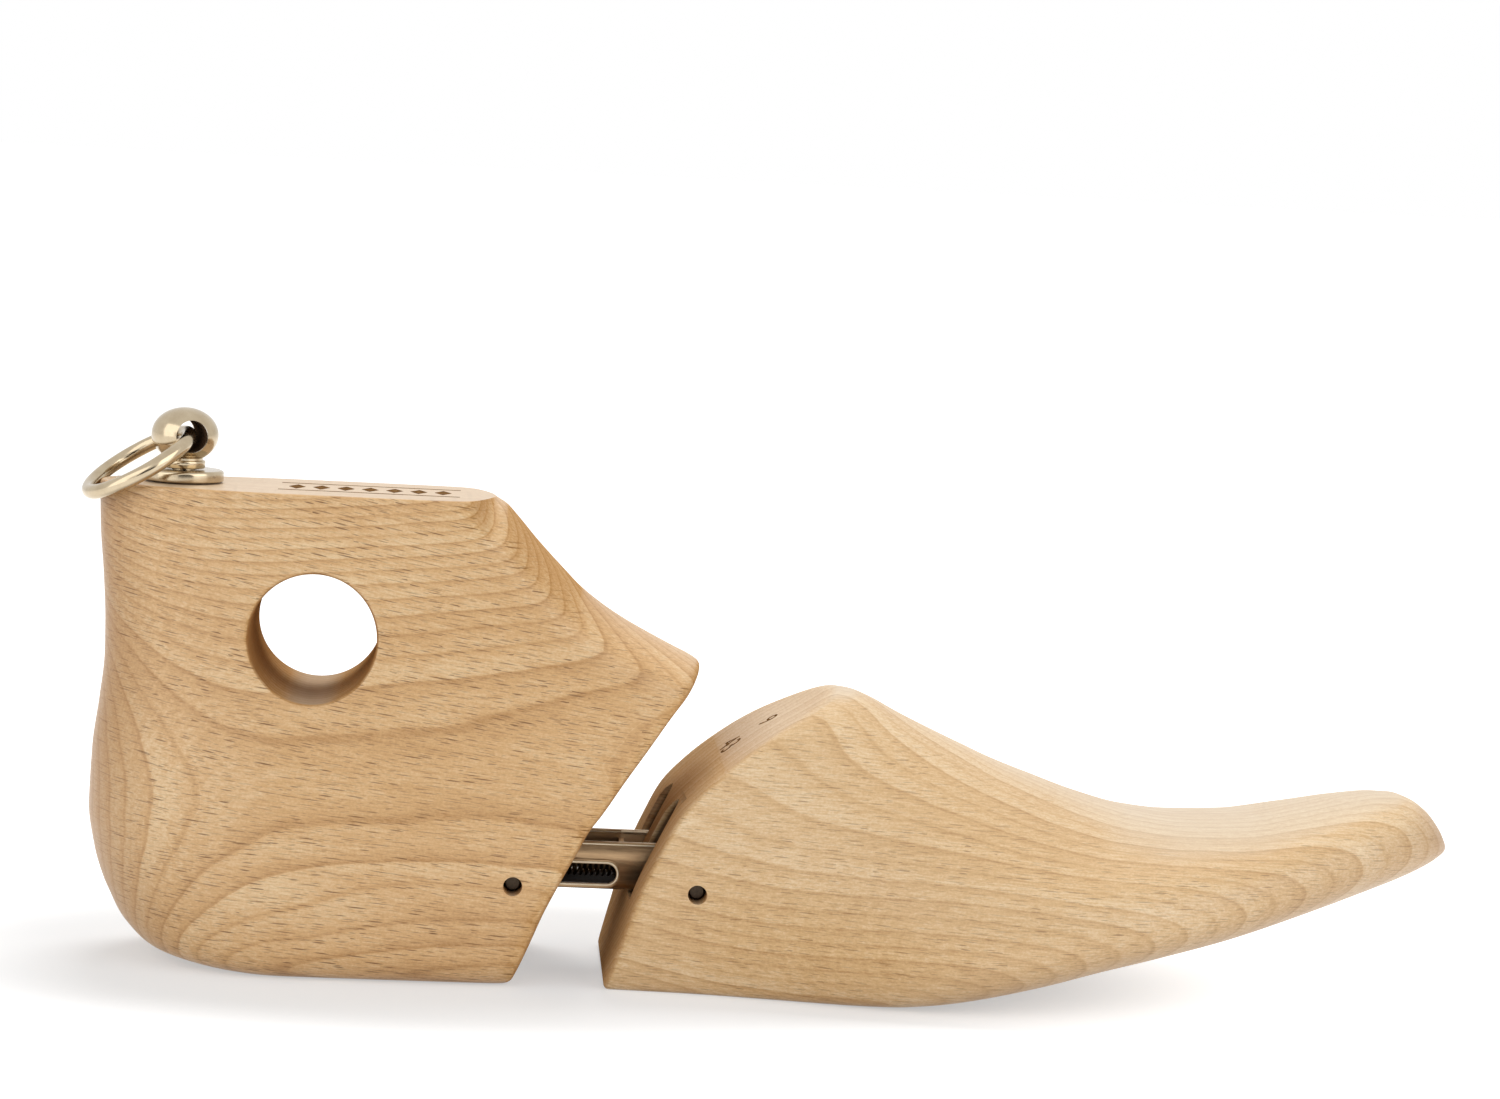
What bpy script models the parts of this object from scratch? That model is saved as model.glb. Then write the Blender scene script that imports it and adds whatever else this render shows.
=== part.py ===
"""Boot tree of beech: a heel block and a forepart joined by a sprung steel link, with a ring on a ball knob.

Metres, +Z up, toe towards +X. Heights count from the floor, and lengths from the back of the heel.
The root empty then moves the tree so that the middle of the heel seat is at the origin.
"""

import math

import bmesh
import bpy
import numpy as np
from mathutils import Matrix, Vector

# Heel block
HEEL_HEIGHT = 0.1060
HEEL_REACH = 0.1344
HEEL_WIDTH = 0.058
ANKLE_WIDTH = 0.0385
HEEL_EDGE = 0.0070
ANKLE_EDGE = 0.0009
CUT_EDGE = 0.0016
INSTEP_WIDTH = 0.072
INSTEP_BLEND = 0.0022
SEAT_FROM_BACK = 0.062
FINGER_HOLE = 0.028
FINGER_HOLE_X = 0.0490
FINGER_HOLE_Z = 0.0746

# Forepart
BLOCK_GAP = 0.0203
FORE_LENGTH = 0.1936
FORE_HEIGHT = 0.0664
FORE_WIDTH = 0.090
FACE_RUN = 0.0498
FACE_SKEW = 0.065
TOE_SWING = 0.0050
TOE_NOSE = 0.0004

# Cross pins
PIN_HEIGHT = 0.0230
PIN_DIAMETER = 0.0036
PIN_RECESS = 0.0045
HEEL_PIN_INSET = 0.0101
FORE_PIN_INSET = 0.0131

# Steel link
LINK_WIDTH = 0.0174
SHEET = 0.0012
LINK_RISE = 0.0072
LINK_DROP = 0.0038
LINK_FOLD = 0.0022
LINK_TAIL = 0.0056
LINK_NOSE = 0.0064
SLOT_HEIGHT = 0.0046
SLOT_RIM = 0.0009
RIM_RELIEF = 0.0003
TAB_SETBACK = 0.0022
TAB_HEIGHT = 0.0092
SLIDE_TRAVEL = 0.0080
KERF_TIP_BACK = 0.0038
KERF_TIP_RISE = 0.0175
MOUTH_WIDTH = 0.0116
MOUTH_MIDDLE = 0.0097
MOUTH_RISE = 0.0180
MOUTH_SIDE_RISE = 0.0095
MOUTH_DEPTH = 0.0055

# Spring, its seat and its guide
SPRING_DIAMETER = 0.0070
SPRING_WIRE = 0.0007
SPRING_TURNS = 14
SEAT_LENGTH = 0.0042
SPIGOT_DIAMETER = 0.0042
SPIGOT_LENGTH = 0.0022
GUIDE_DIAMETER = 0.0040
GUIDE_GAP = 0.0012
RIVET_DIAMETER = 0.0062
RIVET_HEAD = 0.0009

# Knob, ring and insert
KNOB_X = 0.0182
KNOB_TURN_DEGREES = 19.0
ROSETTE_DIAMETER = 0.0178
ROSETTE_THICKNESS = 0.0025
ROSETTE_EDGE = 0.0008
NECK_DIAMETER = 0.0094
NECK_HEIGHT = 0.0026
BALL_DIAMETER = 0.0148
BALL_HEIGHT = 0.0122
EYE_DIAMETER = 0.0072
EYE_FLARE = 0.0009
SHANK_DIAMETER = 0.0050
SHANK_LENGTH = 0.0150
INSERT_DIAMETER = 0.0090
INSERT_LENGTH = 0.0130
RING_RADIUS = 0.0125
RING_WIRE = 0.0033
RING_OFFSET = 0.0119
RING_DROP_DEGREES = 32.0

# Clearances between pieces, how far a cutter runs past the face that it cuts, and how near points are welded
FIT = 0.0003
SIDE_PLAY = 0.0005
OVERRUN = 0.0020
WELD = 0.00001

# Outlines of the heel block: (share of HEEL_HEIGHT, share of HEEL_REACH)
HEEL_BACK_SHARES = (
    (0.000, 0.205), (0.008, 0.162), (0.029, 0.108), (0.062, 0.076), (0.095, 0.055),
    (0.129, 0.041), (0.163, 0.028), (0.230, 0.011), (0.320, 0.000), (0.434, 0.002),
    (0.540, 0.011), (0.634, 0.017), (0.705, 0.016), (0.800, 0.011), (0.906, 0.003), (1.000, 0.000),
)
HEEL_NOSE_SHARE = 1.500
HEEL_CUT_SHARES = (
    (0.000, 0.709), (0.089, 0.738), (0.159, 0.760), (0.232, 0.788), (0.286, 0.810),
    (0.331, 0.828), (0.366, 0.848), (0.436, 0.884), (0.505, 0.921), (0.573, 0.957),
    (0.634, 0.992), (0.676, 1.012), (1.000, 1.200),
)
# The instep's ridge: (share of HEEL_REACH, share of HEEL_HEIGHT)
INSTEP_SHARES = (
    (0.300, 2.600), (0.480, 1.640), (0.570, 1.220), (0.620, 1.060), (0.648, 1.003),
    (0.670, 0.985), (0.693, 0.955), (0.721, 0.915), (0.746, 0.882), (0.772, 0.849),
    (0.798, 0.817), (0.831, 0.785), (0.871, 0.753), (0.919, 0.721), (0.977, 0.686),
    (1.020, 0.664), (1.120, 0.640), (1.300, 0.620), (1.500, 0.600),
)
# Share of HEEL_WIDTH lost to ANKLE_WIDTH at each share of HEEL_HEIGHT
ANKLE_TAPER_SHARES = (
    (0.000, 0.040), (0.150, 0.000), (0.300, 0.050), (0.450, 0.280),
    (0.600, 0.600), (0.750, 0.860), (0.900, 0.990), (1.000, 1.000),
)
WIDEST_SHARE = 0.350
INSTEP_BASE_SHARE = 0.190
INSTEP_POWER = 2.20
BACK_POWER = 2.20
NOSE_POWER = 2.20
# Heights of the heel block's rings between its seat and its top: (share, rings up to it)
HEEL_RING_SHARES = ((0.055, 6), (0.160, 4), (0.580, 8), (0.700, 7), (0.960, 6), (1.000, 4))

# Outlines of the forepart: (share of FORE_LENGTH, share of FORE_HEIGHT)
RIDGE_SHARES = (
    (0.257, 1.000), (0.279, 0.992), (0.300, 0.970), (0.334, 0.920), (0.373, 0.867),
    (0.412, 0.817), (0.453, 0.766), (0.499, 0.718), (0.557, 0.661), (0.618, 0.618),
    (0.676, 0.603), (0.748, 0.612), (0.819, 0.651), (0.879, 0.688), (0.913, 0.701),
    (0.932, 0.701), (0.951, 0.686), (0.971, 0.650), (0.989, 0.589), (1.000, 0.530),
)
SOLE_SHARES = (
    (0.000, 0.000), (0.200, 0.000), (0.270, 0.001), (0.330, 0.006), (0.370, 0.017),
    (0.415, 0.038), (0.490, 0.085), (0.565, 0.140), (0.643, 0.190), (0.720, 0.240),
    (0.800, 0.304), (0.876, 0.370), (0.940, 0.430), (0.975, 0.472), (1.000, 0.512),
)
# The rear face: (share of FORE_HEIGHT, share of FACE_RUN)
FACE_SHARES = (
    (0.000, 0.000), (0.150, 0.059), (0.316, 0.121), (0.482, 0.213), (0.587, 0.284),
    (0.678, 0.389), (0.768, 0.523), (0.858, 0.684), (0.934, 0.855), (1.000, 1.000),
)
# Plan and section: (share of FORE_LENGTH, share of FORE_WIDTH / 2), and where a section is widest
PLAN_SHARES = (
    (0.000, 0.610), (0.100, 0.660), (0.190, 0.745), (0.270, 0.840), (0.350, 0.930),
    (0.430, 0.985), (0.500, 1.000), (0.580, 0.975), (0.660, 0.905), (0.730, 0.808),
    (0.800, 0.688), (0.865, 0.555), (0.920, 0.422), (0.960, 0.300), (0.985, 0.183),
    (0.994, 0.112), (0.998, 0.062), (1.000, 0.020),
)
WIDEST_HEIGHT_SHARES = ((0.000, 0.230), (0.300, 0.260), (0.600, 0.360), (1.000, 0.450))
FLAT_SOLE_SHARES = ((0.000, 0.830), (0.300, 0.800), (0.600, 0.620), (1.000, 0.300))
ARCH_POWER = 2.15
# Rings of the forepart from its rear face to the toe: (share, rings up to it)
FORE_RING_SHARES = ((0.080, 4), (0.850, 20), (0.970, 6), (0.990, 3), (1.000, 3))

# Counts
MM_PER_M = 1000
ROUND_STEPS = 4
FACE_STEPS = 4
SIDE_STEPS = 15
SOLE_STEPS = 3
CORNER_STEPS = 4
ARCH_STEPS = 9
TURN_STEPS = 32
HOLE_STEPS = 24
RING_STEPS = 40
WIRE_STEPS = 12
BALL_STEPS = 14
SLOT_STEPS = 8
FOLD_STEPS = 5
EAR_STEPS = 12
TAIL_STEPS = 4
KERF_STEPS = 14
MOUTH_STEPS = 8
SPRING_POINTS = 9

# How the points of a heel ring crowd towards the front corner, and angles in degrees
FACE_CROWDING = 1.6
FLANK_CROWDING = 1.15
LEAST_CORNER_DEGREES = 3
CORNER_SEARCH_DEGREES = 0.2
SHARP_DEGREES = 35
KERF_BEND_DEGREES = 80
MOUTH_POWER = 4

# Colours (linear RGB), roughness and metallic value of each finish
FINISHES = {
    "beech": ((0.69, 0.47, 0.25), 0.45, 0.0),
    "bronzed_steel": ((0.33, 0.27, 0.21), 0.35, 1.0),
    "bright_steel": ((0.55, 0.54, 0.52), 0.30, 1.0),
    "polished_nickel": ((0.70, 0.64, 0.55), 0.12, 1.0),
    "brass": ((0.75, 0.55, 0.25), 0.30, 1.0),
}


def smooth(table, share):
    """Read a two-column table at a share, along a curve that keeps each rise and fall of the table."""
    x, y = np.array(table, float).T
    step = np.diff(x)
    slope = np.diff(y) / step
    tangent = np.zeros(len(x))
    tangent[0], tangent[-1] = slope[0], slope[-1]
    turning = slope[:-1] * slope[1:] <= 0
    before = 2 * step[1:] + step[:-1]
    after = step[1:] + 2 * step[:-1]
    safe = np.where(turning, 1.0, slope[:-1]), np.where(turning, 1.0, slope[1:])
    tangent[1:-1] = np.where(turning, 0.0, (before + after) / (before / safe[0] + after / safe[1]))
    i = int(np.clip(np.searchsorted(x, share) - 1, 0, len(step) - 1))
    t = np.clip((share - x[i]) / step[i], 0.0, 1.0)
    start = (1 + 2 * t) * (1 - t) ** 2 * y[i] + t * (1 - t) ** 2 * step[i] * tangent[i]
    end = t * t * (3 - 2 * t) * y[i + 1] + t * t * (t - 1) * step[i] * tangent[i + 1]
    return float(start + end)


def spaced(stops):
    """Shares from 0 to 1, with the given number of even steps up to each stop."""
    shares = [0.0]
    for stop, count in stops:
        start = shares[-1]
        shares += [start + (stop - start) * (k + 1) / count for k in range(count)]
    return shares


def rounding(distance, radius):
    """How far a rounded edge draws in at this distance from the face that it meets."""
    if distance >= radius:
        return 0.0
    return radius - math.sqrt(radius * radius - (radius - distance) ** 2)


def clear_scene():
    for obj in list(bpy.data.objects):
        bpy.data.objects.remove(obj, do_unlink=True)


def make_collection(name):
    collection = bpy.data.collections.new(name)
    bpy.context.scene.collection.children.link(collection)
    return collection


def make_finish(node, finish):
    """A material of the piece's own, in one of the finishes."""
    colour, rough, metallic = FINISHES[finish]
    material = bpy.data.materials.new(node + "_" + finish)
    material.use_nodes = True
    shader = material.node_tree.nodes["Principled BSDF"]
    shader.inputs["Base Color"].default_value = (*colour, 1.0)
    shader.inputs["Roughness"].default_value = rough
    shader.inputs["Metallic"].default_value = metallic
    return material


def carry(obj, parent):
    """Parent an object and leave it where it is."""
    obj.parent = parent
    obj.matrix_parent_inverse = Matrix.Translation(-JOINT_PLACES[parent.name])


def add_empty(name, parent=None):
    """An empty on a joint's axis."""
    empty = bpy.data.objects.new(name, None)
    tree.objects.link(empty)
    empty.location = JOINT_PLACES[name]
    if parent:
        carry(empty, parent)
    return empty


def add_piece(name, mesh, finish, parent):
    """Turn a mesh into a named piece of the tree, carried by an empty."""
    mesh.name = name
    mesh.materials.clear()
    mesh.materials.append(make_finish(name, finish))
    mesh.shade_smooth()
    mesh.set_sharp_from_angle(angle=math.radians(SHARP_DEGREES))
    piece = bpy.data.objects.new(name, mesh)
    tree.objects.link(piece)
    carry(piece, parent)
    return piece


def add_cutter(name, mesh):
    cutter = bpy.data.objects.new(name, mesh)
    cutters.objects.link(cutter)
    carry(cutter, root)
    cutter.hide_render = True
    cutter.display_type = "WIRE"
    return cutter


def boolean(piece, cutter, operation="DIFFERENCE"):
    modifier = piece.modifiers.new(cutter.name, "BOOLEAN")
    modifier.object = cutter
    modifier.operation = operation
    modifier.solver = "EXACT"


def mesh_from(bm, name):
    bmesh.ops.recalc_face_normals(bm, faces=bm.faces)
    mesh = bpy.data.meshes.new(name)
    bm.to_mesh(mesh)
    bm.free()
    return mesh


def rod_mesh(name, diameter, start, end, steps=HOLE_STEPS):
    """A cylinder between two points."""
    start, end = Vector(start), Vector(end)
    turn = (end - start).to_track_quat("Z", "Y").to_matrix().to_4x4()
    place = Matrix.Translation((start + end) / 2) @ turn
    bm = bmesh.new()
    bmesh.ops.create_cone(
        bm, cap_ends=True, segments=steps, radius1=diameter / 2, radius2=diameter / 2,
        depth=(end - start).length, matrix=place,
    )
    return mesh_from(bm, name)


def box_mesh(name, low, high):
    """A box between two corners."""
    low, high = Vector(low), Vector(high)
    bm = bmesh.new()
    bmesh.ops.create_cube(bm, size=1.0)
    bmesh.ops.scale(bm, vec=high - low, verts=bm.verts)
    bmesh.ops.translate(bm, vec=(low + high) / 2, verts=bm.verts)
    return mesh_from(bm, name)


def mesh_of(curve_object):
    """The welded mesh of a curve object, which is then removed."""
    bpy.context.view_layer.update()
    evaluated = curve_object.evaluated_get(bpy.context.evaluated_depsgraph_get())
    mesh = bpy.data.meshes.new_from_object(evaluated)
    mesh.transform(curve_object.matrix_world)
    bpy.data.objects.remove(curve_object, do_unlink=True)
    bm = bmesh.new()
    bm.from_mesh(mesh)
    bmesh.ops.remove_doubles(bm, verts=bm.verts, dist=WELD)
    bmesh.ops.recalc_face_normals(bm, faces=bm.faces)
    bm.to_mesh(mesh)
    bm.free()
    return mesh


def plate_mesh(name, outline, thickness, frame):
    """A flat outline made solid: its X and Y run along the frame's first two axes."""
    curve = bpy.data.curves.new(name, "CURVE")
    curve.dimensions = "2D"
    curve.fill_mode = "BOTH"
    curve.extrude = thickness / 2
    spline = curve.splines.new("POLY")
    spline.points.add(len(outline) - 1)
    for point, place in zip(spline.points, outline):
        point.co = (place[0], place[1], 0.0, 1.0)
    spline.use_cyclic_u = True
    holder = bpy.data.objects.new(name, curve)
    cutters.objects.link(holder)
    holder.matrix_world = frame
    return mesh_of(holder)


def turned_mesh(name, profile, steps=TURN_STEPS):
    """A profile of (radius, height), from top to bottom, turned about Z."""
    mesh = bpy.data.meshes.new(name)
    mesh.from_pydata([(r, 0.0, z) for r, z in profile], [(i, i + 1) for i in range(len(profile) - 1)], [])
    turned = bpy.data.objects.new(name, mesh)
    cutters.objects.link(turned)
    screw = turned.modifiers.new("turn", "SCREW")
    screw.steps = steps
    screw.render_steps = steps
    screw.use_merge_vertices = True
    screw.merge_threshold = WELD
    return mesh_of(turned)


def arc(centre, radius, start, end, steps):
    """Points along an arc, with angles in degrees."""
    angles = [math.radians(start + (end - start) * k / steps) for k in range(steps + 1)]
    return [(centre[0] + radius * math.cos(a), centre[1] + radius * math.sin(a)) for a in angles]


def heel_cut(height):
    """Where the heel block's front saw cut lies at a height."""
    return HEEL_REACH * smooth(HEEL_CUT_SHARES, height / HEEL_HEIGHT)


def heel_section(height):
    """Back, nose and half width of the heel block at a height, with its top and bottom edges rounded."""
    share = height / HEEL_HEIGHT
    drawn = rounding(HEEL_HEIGHT - height, ANKLE_EDGE)
    back = HEEL_REACH * smooth(HEEL_BACK_SHARES, share) + drawn
    nose = HEEL_REACH * HEEL_NOSE_SHARE - drawn
    width = HEEL_WIDTH + (ANKLE_WIDTH - HEEL_WIDTH) * smooth(ANKLE_TAPER_SHARES, share)
    return back, nose, width / 2 - drawn - rounding(height, HEEL_EDGE)


def instep_half(x, height):
    """Half width of the arch under the instep's ridge."""
    base = HEEL_HEIGHT * INSTEP_BASE_SHARE
    ridge = HEEL_HEIGHT * smooth(INSTEP_SHARES, x / HEEL_REACH)
    up = max(height - base, 0.0) / (ridge - base)
    return INSTEP_WIDTH / 2 * max(1 - up ** INSTEP_POWER, 0.0) ** (1 / INSTEP_POWER)


def blended(first, second, radius):
    """The shorter of two reaches, rounded off where they meet."""
    shorter, longer = min(first, second), max(first, second)
    return shorter - radius * math.log1p(math.exp((shorter - longer) / radius))


def heel_reach(angle, height):
    """Distance from the widest line to the block's side in one direction, before the saw cut."""
    back, nose, half = heel_section(height)
    widest = HEEL_REACH * WIDEST_SHARE
    reach, power = (nose - widest, NOSE_POWER) if math.cos(angle) > 0 else (widest - back, BACK_POWER)
    along = abs(math.cos(angle)) / reach
    across = abs(math.sin(angle)) / half
    plan = (along ** power + across ** power) ** (-1 / power)
    if math.cos(angle) <= 0:
        return plan
    short, long = 0.0, 2 * HEEL_REACH
    while long - short > WELD / 2:
        middle = (short + long) / 2
        inside = middle * math.sin(angle) < instep_half(widest + middle * math.cos(angle), height)
        short, long = (middle, long) if inside else (short, middle)
    return blended(plan, short, INSTEP_BLEND)


def heel_outline(height):
    """One ring of the heel block: half of it from the front to the back, then the other half."""
    widest = HEEL_REACH * WIDEST_SHARE
    cut = heel_cut(height) - widest - rounding(height, CUT_EDGE)
    inner, outer = 0.0, math.pi / 2
    while outer - inner > math.radians(CORNER_SEARCH_DEGREES):
        middle = (inner + outer) / 2
        cut_first = heel_reach(middle, height) * math.cos(middle) > cut
        inner, outer = (middle, outer) if cut_first else (inner, middle)
    corner = max(inner, math.radians(LEAST_CORNER_DEGREES))
    face = [corner * (1 - (1 - k / FACE_STEPS) ** FACE_CROWDING) for k in range(FACE_STEPS)]
    flank = [corner + (math.pi - corner) * (k / SIDE_STEPS) ** FLANK_CROWDING for k in range(SIDE_STEPS + 1)]
    half_ring = []
    for angle in face + flank:
        reach = heel_reach(angle, height)
        if math.cos(angle) > 0:
            reach = blended(reach, cut / math.cos(angle), CUT_EDGE)
        half_ring.append((widest + reach * math.cos(angle), reach * math.sin(angle)))
    other = [(x, -y) for x, y in reversed(half_ring[1:-1])]
    return half_ring + other


def heel_mesh():
    bm = bmesh.new()
    rings = []
    for share in spaced(HEEL_RING_SHARES):
        height = HEEL_HEIGHT * share
        rings.append([bm.verts.new((x, y, height)) for x, y in heel_outline(height)])
    skin(bm, rings)
    bm.faces.new(rings[0])
    bm.faces.new(rings[-1])
    return mesh_from(bm, "heel_block")


def skin(bm, rings):
    """Faces between each ring and the next."""
    for lower, upper in zip(rings[:-1], rings[1:]):
        for k in range(len(lower)):
            after = (k + 1) % len(lower)
            bm.faces.new((lower[k], lower[after], upper[after], upper[k]))


def fore_face(height):
    """Where the forepart's rear face lies at a height."""
    return FORE_START + FACE_RUN * smooth(FACE_SHARES, height / FORE_HEIGHT)


def fore_section(share):
    """Half a section of the forepart, from the middle of the sole up to the ridge: (across, up) shares."""
    flat = smooth(FLAT_SOLE_SHARES, share)
    widest = smooth(WIDEST_HEIGHT_SHARES, share)
    points = [(flat * k / SOLE_STEPS, 0.0) for k in range(SOLE_STEPS + 1)]
    for k in range(1, CORNER_STEPS + 1):
        angle = math.pi / 2 * k / CORNER_STEPS
        points.append((flat + (1 - flat) * math.sin(angle), widest * (1 - math.cos(angle))))
    for k in range(1, ARCH_STEPS + 1):
        angle = math.pi / 2 * k / ARCH_STEPS
        across = max(math.cos(angle), 0.0) ** (2 / ARCH_POWER)
        points.append((across, widest + (1 - widest) * math.sin(angle) ** (2 / ARCH_POWER)))
    return points


def fore_ring(share, drawn):
    """One ring of the forepart, drawn in by a length: bent like the rear face at the back, upright at the toe."""
    bottom = FORE_LENGTH * share
    top = FACE_RUN + (FORE_LENGTH - FACE_RUN) * share
    low = FORE_HEIGHT * smooth(SOLE_SHARES, bottom / FORE_LENGTH)
    high = FORE_HEIGHT * smooth(RIDGE_SHARES, top / FORE_LENGTH)
    tall = high - low
    half_ring = []
    for across, up in fore_section(share):
        up = 0.5 + (up - 0.5) * (1 - 2 * drawn / tall)
        x = bottom + (top - bottom) * smooth(FACE_SHARES, up)
        half = FORE_WIDTH / 2 * smooth(PLAN_SHARES, x / FORE_LENGTH)
        y = across * (half - drawn)
        half_ring.append((x, y, low + tall * up))
    swing = [TOE_SWING * (x / FORE_LENGTH) ** 2 for x, _, _ in half_ring]
    twist = [FACE_SKEW * z / FORE_HEIGHT * (1 - share) ** 2 * y for _, y, z in half_ring]
    near = [(FORE_START + x + t, s - y, z) for (x, y, z), s, t in zip(half_ring, swing, twist)]
    far = [(FORE_START + x - t, s + y, z) for (x, y, z), s, t in zip(half_ring, swing, twist)]
    return near + far[-2:0:-1]


def fore_mesh():
    """Rings from the rear face, whose edge is rounded, to the toe."""
    bm = bmesh.new()
    rings = []
    for k in range(ROUND_STEPS):
        angle = math.pi / 2 * k / ROUND_STEPS
        share = CUT_EDGE * (1 - math.cos(angle)) / FORE_LENGTH
        rings.append(fore_ring(share, CUT_EDGE * (1 - math.sin(angle))))
    start = CUT_EDGE / FORE_LENGTH
    for share in spaced(FORE_RING_SHARES):
        rings.append(fore_ring(start + (1 - TOE_NOSE / FORE_LENGTH - start) * share, 0.0))
    rings = [[bm.verts.new(point) for point in ring] for ring in rings]
    skin(bm, rings)
    bm.faces.new(rings[-1])
    rear = rings[0]
    count = len(rear)
    first = SOLE_STEPS + 1
    bm.faces.new(rear[:first + 1] + rear[count - first:])
    for k in range(first, count // 2):
        corners = [rear[k], rear[k + 1], rear[count - k - 1], rear[count - k]]
        bm.faces.new(list(dict.fromkeys(corners)))
    return mesh_from(bm, "forepart")


def frame(origin, x_axis, y_axis):
    """A placement whose first two axes are given."""
    x_axis, y_axis = Vector(x_axis), Vector(y_axis)
    turn = Matrix((x_axis, y_axis, x_axis.cross(y_axis))).transposed().to_4x4()
    return Matrix.Translation(Vector(origin)) @ turn


def upright(y=0.0):
    """A plate standing in the XZ plane, at a distance from the middle."""
    return frame((0, y, 0), (1, 0, 0), (0, 0, 1))


def slot_outline(start, end, height, radius):
    """A slot with round ends between two centres."""
    front = arc((end, height), radius, -90, 90, SLOT_STEPS)
    return front + arc((start, height), radius, 90, 270, SLOT_STEPS)


def make_heel_block():
    block = add_piece("heel_block", heel_mesh(), "beech", slide_axis)
    reach = HEEL_WIDTH / 2 + OVERRUN
    hole = (FINGER_HOLE_X, FINGER_HOLE_Z)
    boolean(block, add_cutter("finger_hole", rod_mesh(
        "finger_hole", FINGER_HOLE, (hole[0], -reach, hole[1]), (hole[0], reach, hole[1]), 2 * HOLE_STEPS)))
    boolean(block, add_cutter("link_pocket", box_mesh(
        "link_pocket",
        (LINK_REAR - SLIDE_TRAVEL - 2 * SIDE_PLAY, -POCKET_HALF, LINK_BOTTOM - SIDE_PLAY),
        (FORE_START + FACE_RUN, POCKET_HALF, LINK_TOP + SIDE_PLAY))))
    boolean(block, add_cutter("heel_pin_hole", rod_mesh(
        "heel_pin_hole", PIN_DIAMETER + 2 * FIT,
        (HEEL_PIN_X, -reach, PIN_HEIGHT), (HEEL_PIN_X, reach, PIN_HEIGHT))))
    boolean(block, add_cutter("insert_hole", rod_mesh(
        "insert_hole", INSERT_DIAMETER + 2 * FIT,
        (KNOB_X, 0, HEEL_HEIGHT - max(SHANK_LENGTH, INSERT_LENGTH) - SIDE_PLAY),
        (KNOB_X, 0, HEEL_HEIGHT + OVERRUN))))


def kerf_outline():
    """The side view of a saw kerf: round about the pin, and open to the rear up to its tip."""
    radius = EAR_RADIUS + math.hypot(LINK_NOSE - EAR_RADIUS, LINK_RISE - EAR_RADIUS) + SIDE_PLAY
    floor = LINK_DROP + SIDE_PLAY
    first = 180 + math.degrees(math.asin(floor / radius))
    bend = arc((FORE_PIN_X, PIN_HEIGHT), radius, first, 360 + KERF_BEND_DEGREES, KERF_STEPS)
    tip = (FORE_PIN_X - KERF_TIP_BACK, PIN_HEIGHT + KERF_TIP_RISE)
    rear = FORE_START - OVERRUN
    return [(rear, PIN_HEIGHT - floor)] + bend + [tip, (rear, tip[1])]


def mouth_mesh(name, side):
    """The wide mouth of a kerf, cut square to the rear face: straight sides, closing to a point at its top."""
    low, top = LINK_BOTTOM - SIDE_PLAY, PIN_HEIGHT + MOUTH_RISE
    foot = Vector((fore_face(low), side * MOUTH_MIDDLE, low))
    up_face = Vector((fore_face(top), side * MOUTH_MIDDLE, top)) - foot
    length = up_face.length
    shoulder = length * (PIN_HEIGHT + MOUTH_SIDE_RISE - low) / (top - low)
    half = [(MOUTH_WIDTH / 2, 0.0)]
    for k in range(MOUTH_STEPS):
        share = k / MOUTH_STEPS
        half.append((MOUTH_WIDTH / 2 * (1 - share ** MOUTH_POWER), shoulder + (length - shoulder) * share))
    outline = half + [(0.0, length)] + [(-across, up) for across, up in reversed(half)]
    up_face.normalize()
    into_wood = Vector((0, 1, 0)).cross(up_face)
    middle = foot + into_wood * (MOUTH_DEPTH - MOUTH_OUTSIDE) / 2
    return plate_mesh(name, outline, MOUTH_DEPTH + MOUTH_OUTSIDE, frame(middle, (0, 1, 0), up_face))


def make_forepart():
    block = add_piece("forepart", fore_mesh(), "beech", root)
    for side in (-1, 1):
        place = "near" if side < 0 else "far"
        middle = side * (LINK_WIDTH - SHEET) / 2
        boolean(block, add_cutter("kerf_" + place, plate_mesh(
            "kerf_" + place, kerf_outline(), KERF_WIDTH, upright(middle))))
        boolean(block, add_cutter("mouth_" + place, mouth_mesh("mouth_" + place, side)))
    reach = FORE_WIDTH / 2 + TOE_SWING
    boolean(block, add_cutter("forepart_pin_hole", rod_mesh(
        "forepart_pin_hole", PIN_DIAMETER + 2 * FIT,
        (FORE_PIN_X, -reach, PIN_HEIGHT), (FORE_PIN_X, reach, PIN_HEIGHT))))


def channel_outline():
    """Section of the folded channel, open at the top and not yet cut to its height: (across, up)."""
    outer = LINK_WIDTH / 2
    fold = outer - LINK_FOLD
    base = LINK_BOTTOM + LINK_FOLD
    outside = (
        arc((-fold, base), LINK_FOLD, 180, 270, FOLD_STEPS)
        + arc((fold, base), LINK_FOLD, 270, 360, FOLD_STEPS)
    )
    inside = LINK_FOLD - SHEET
    inner = (
        arc((fold, base), inside, 360, 270, FOLD_STEPS)
        + arc((-fold, base), inside, 270, 180, FOLD_STEPS)
    )
    top = LINK_TOP + OVERRUN
    return (
        [(-outer, top)] + outside + [(outer, top), (outer - SHEET, top)] + inner + [(-outer + SHEET, top)]
    )


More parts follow.
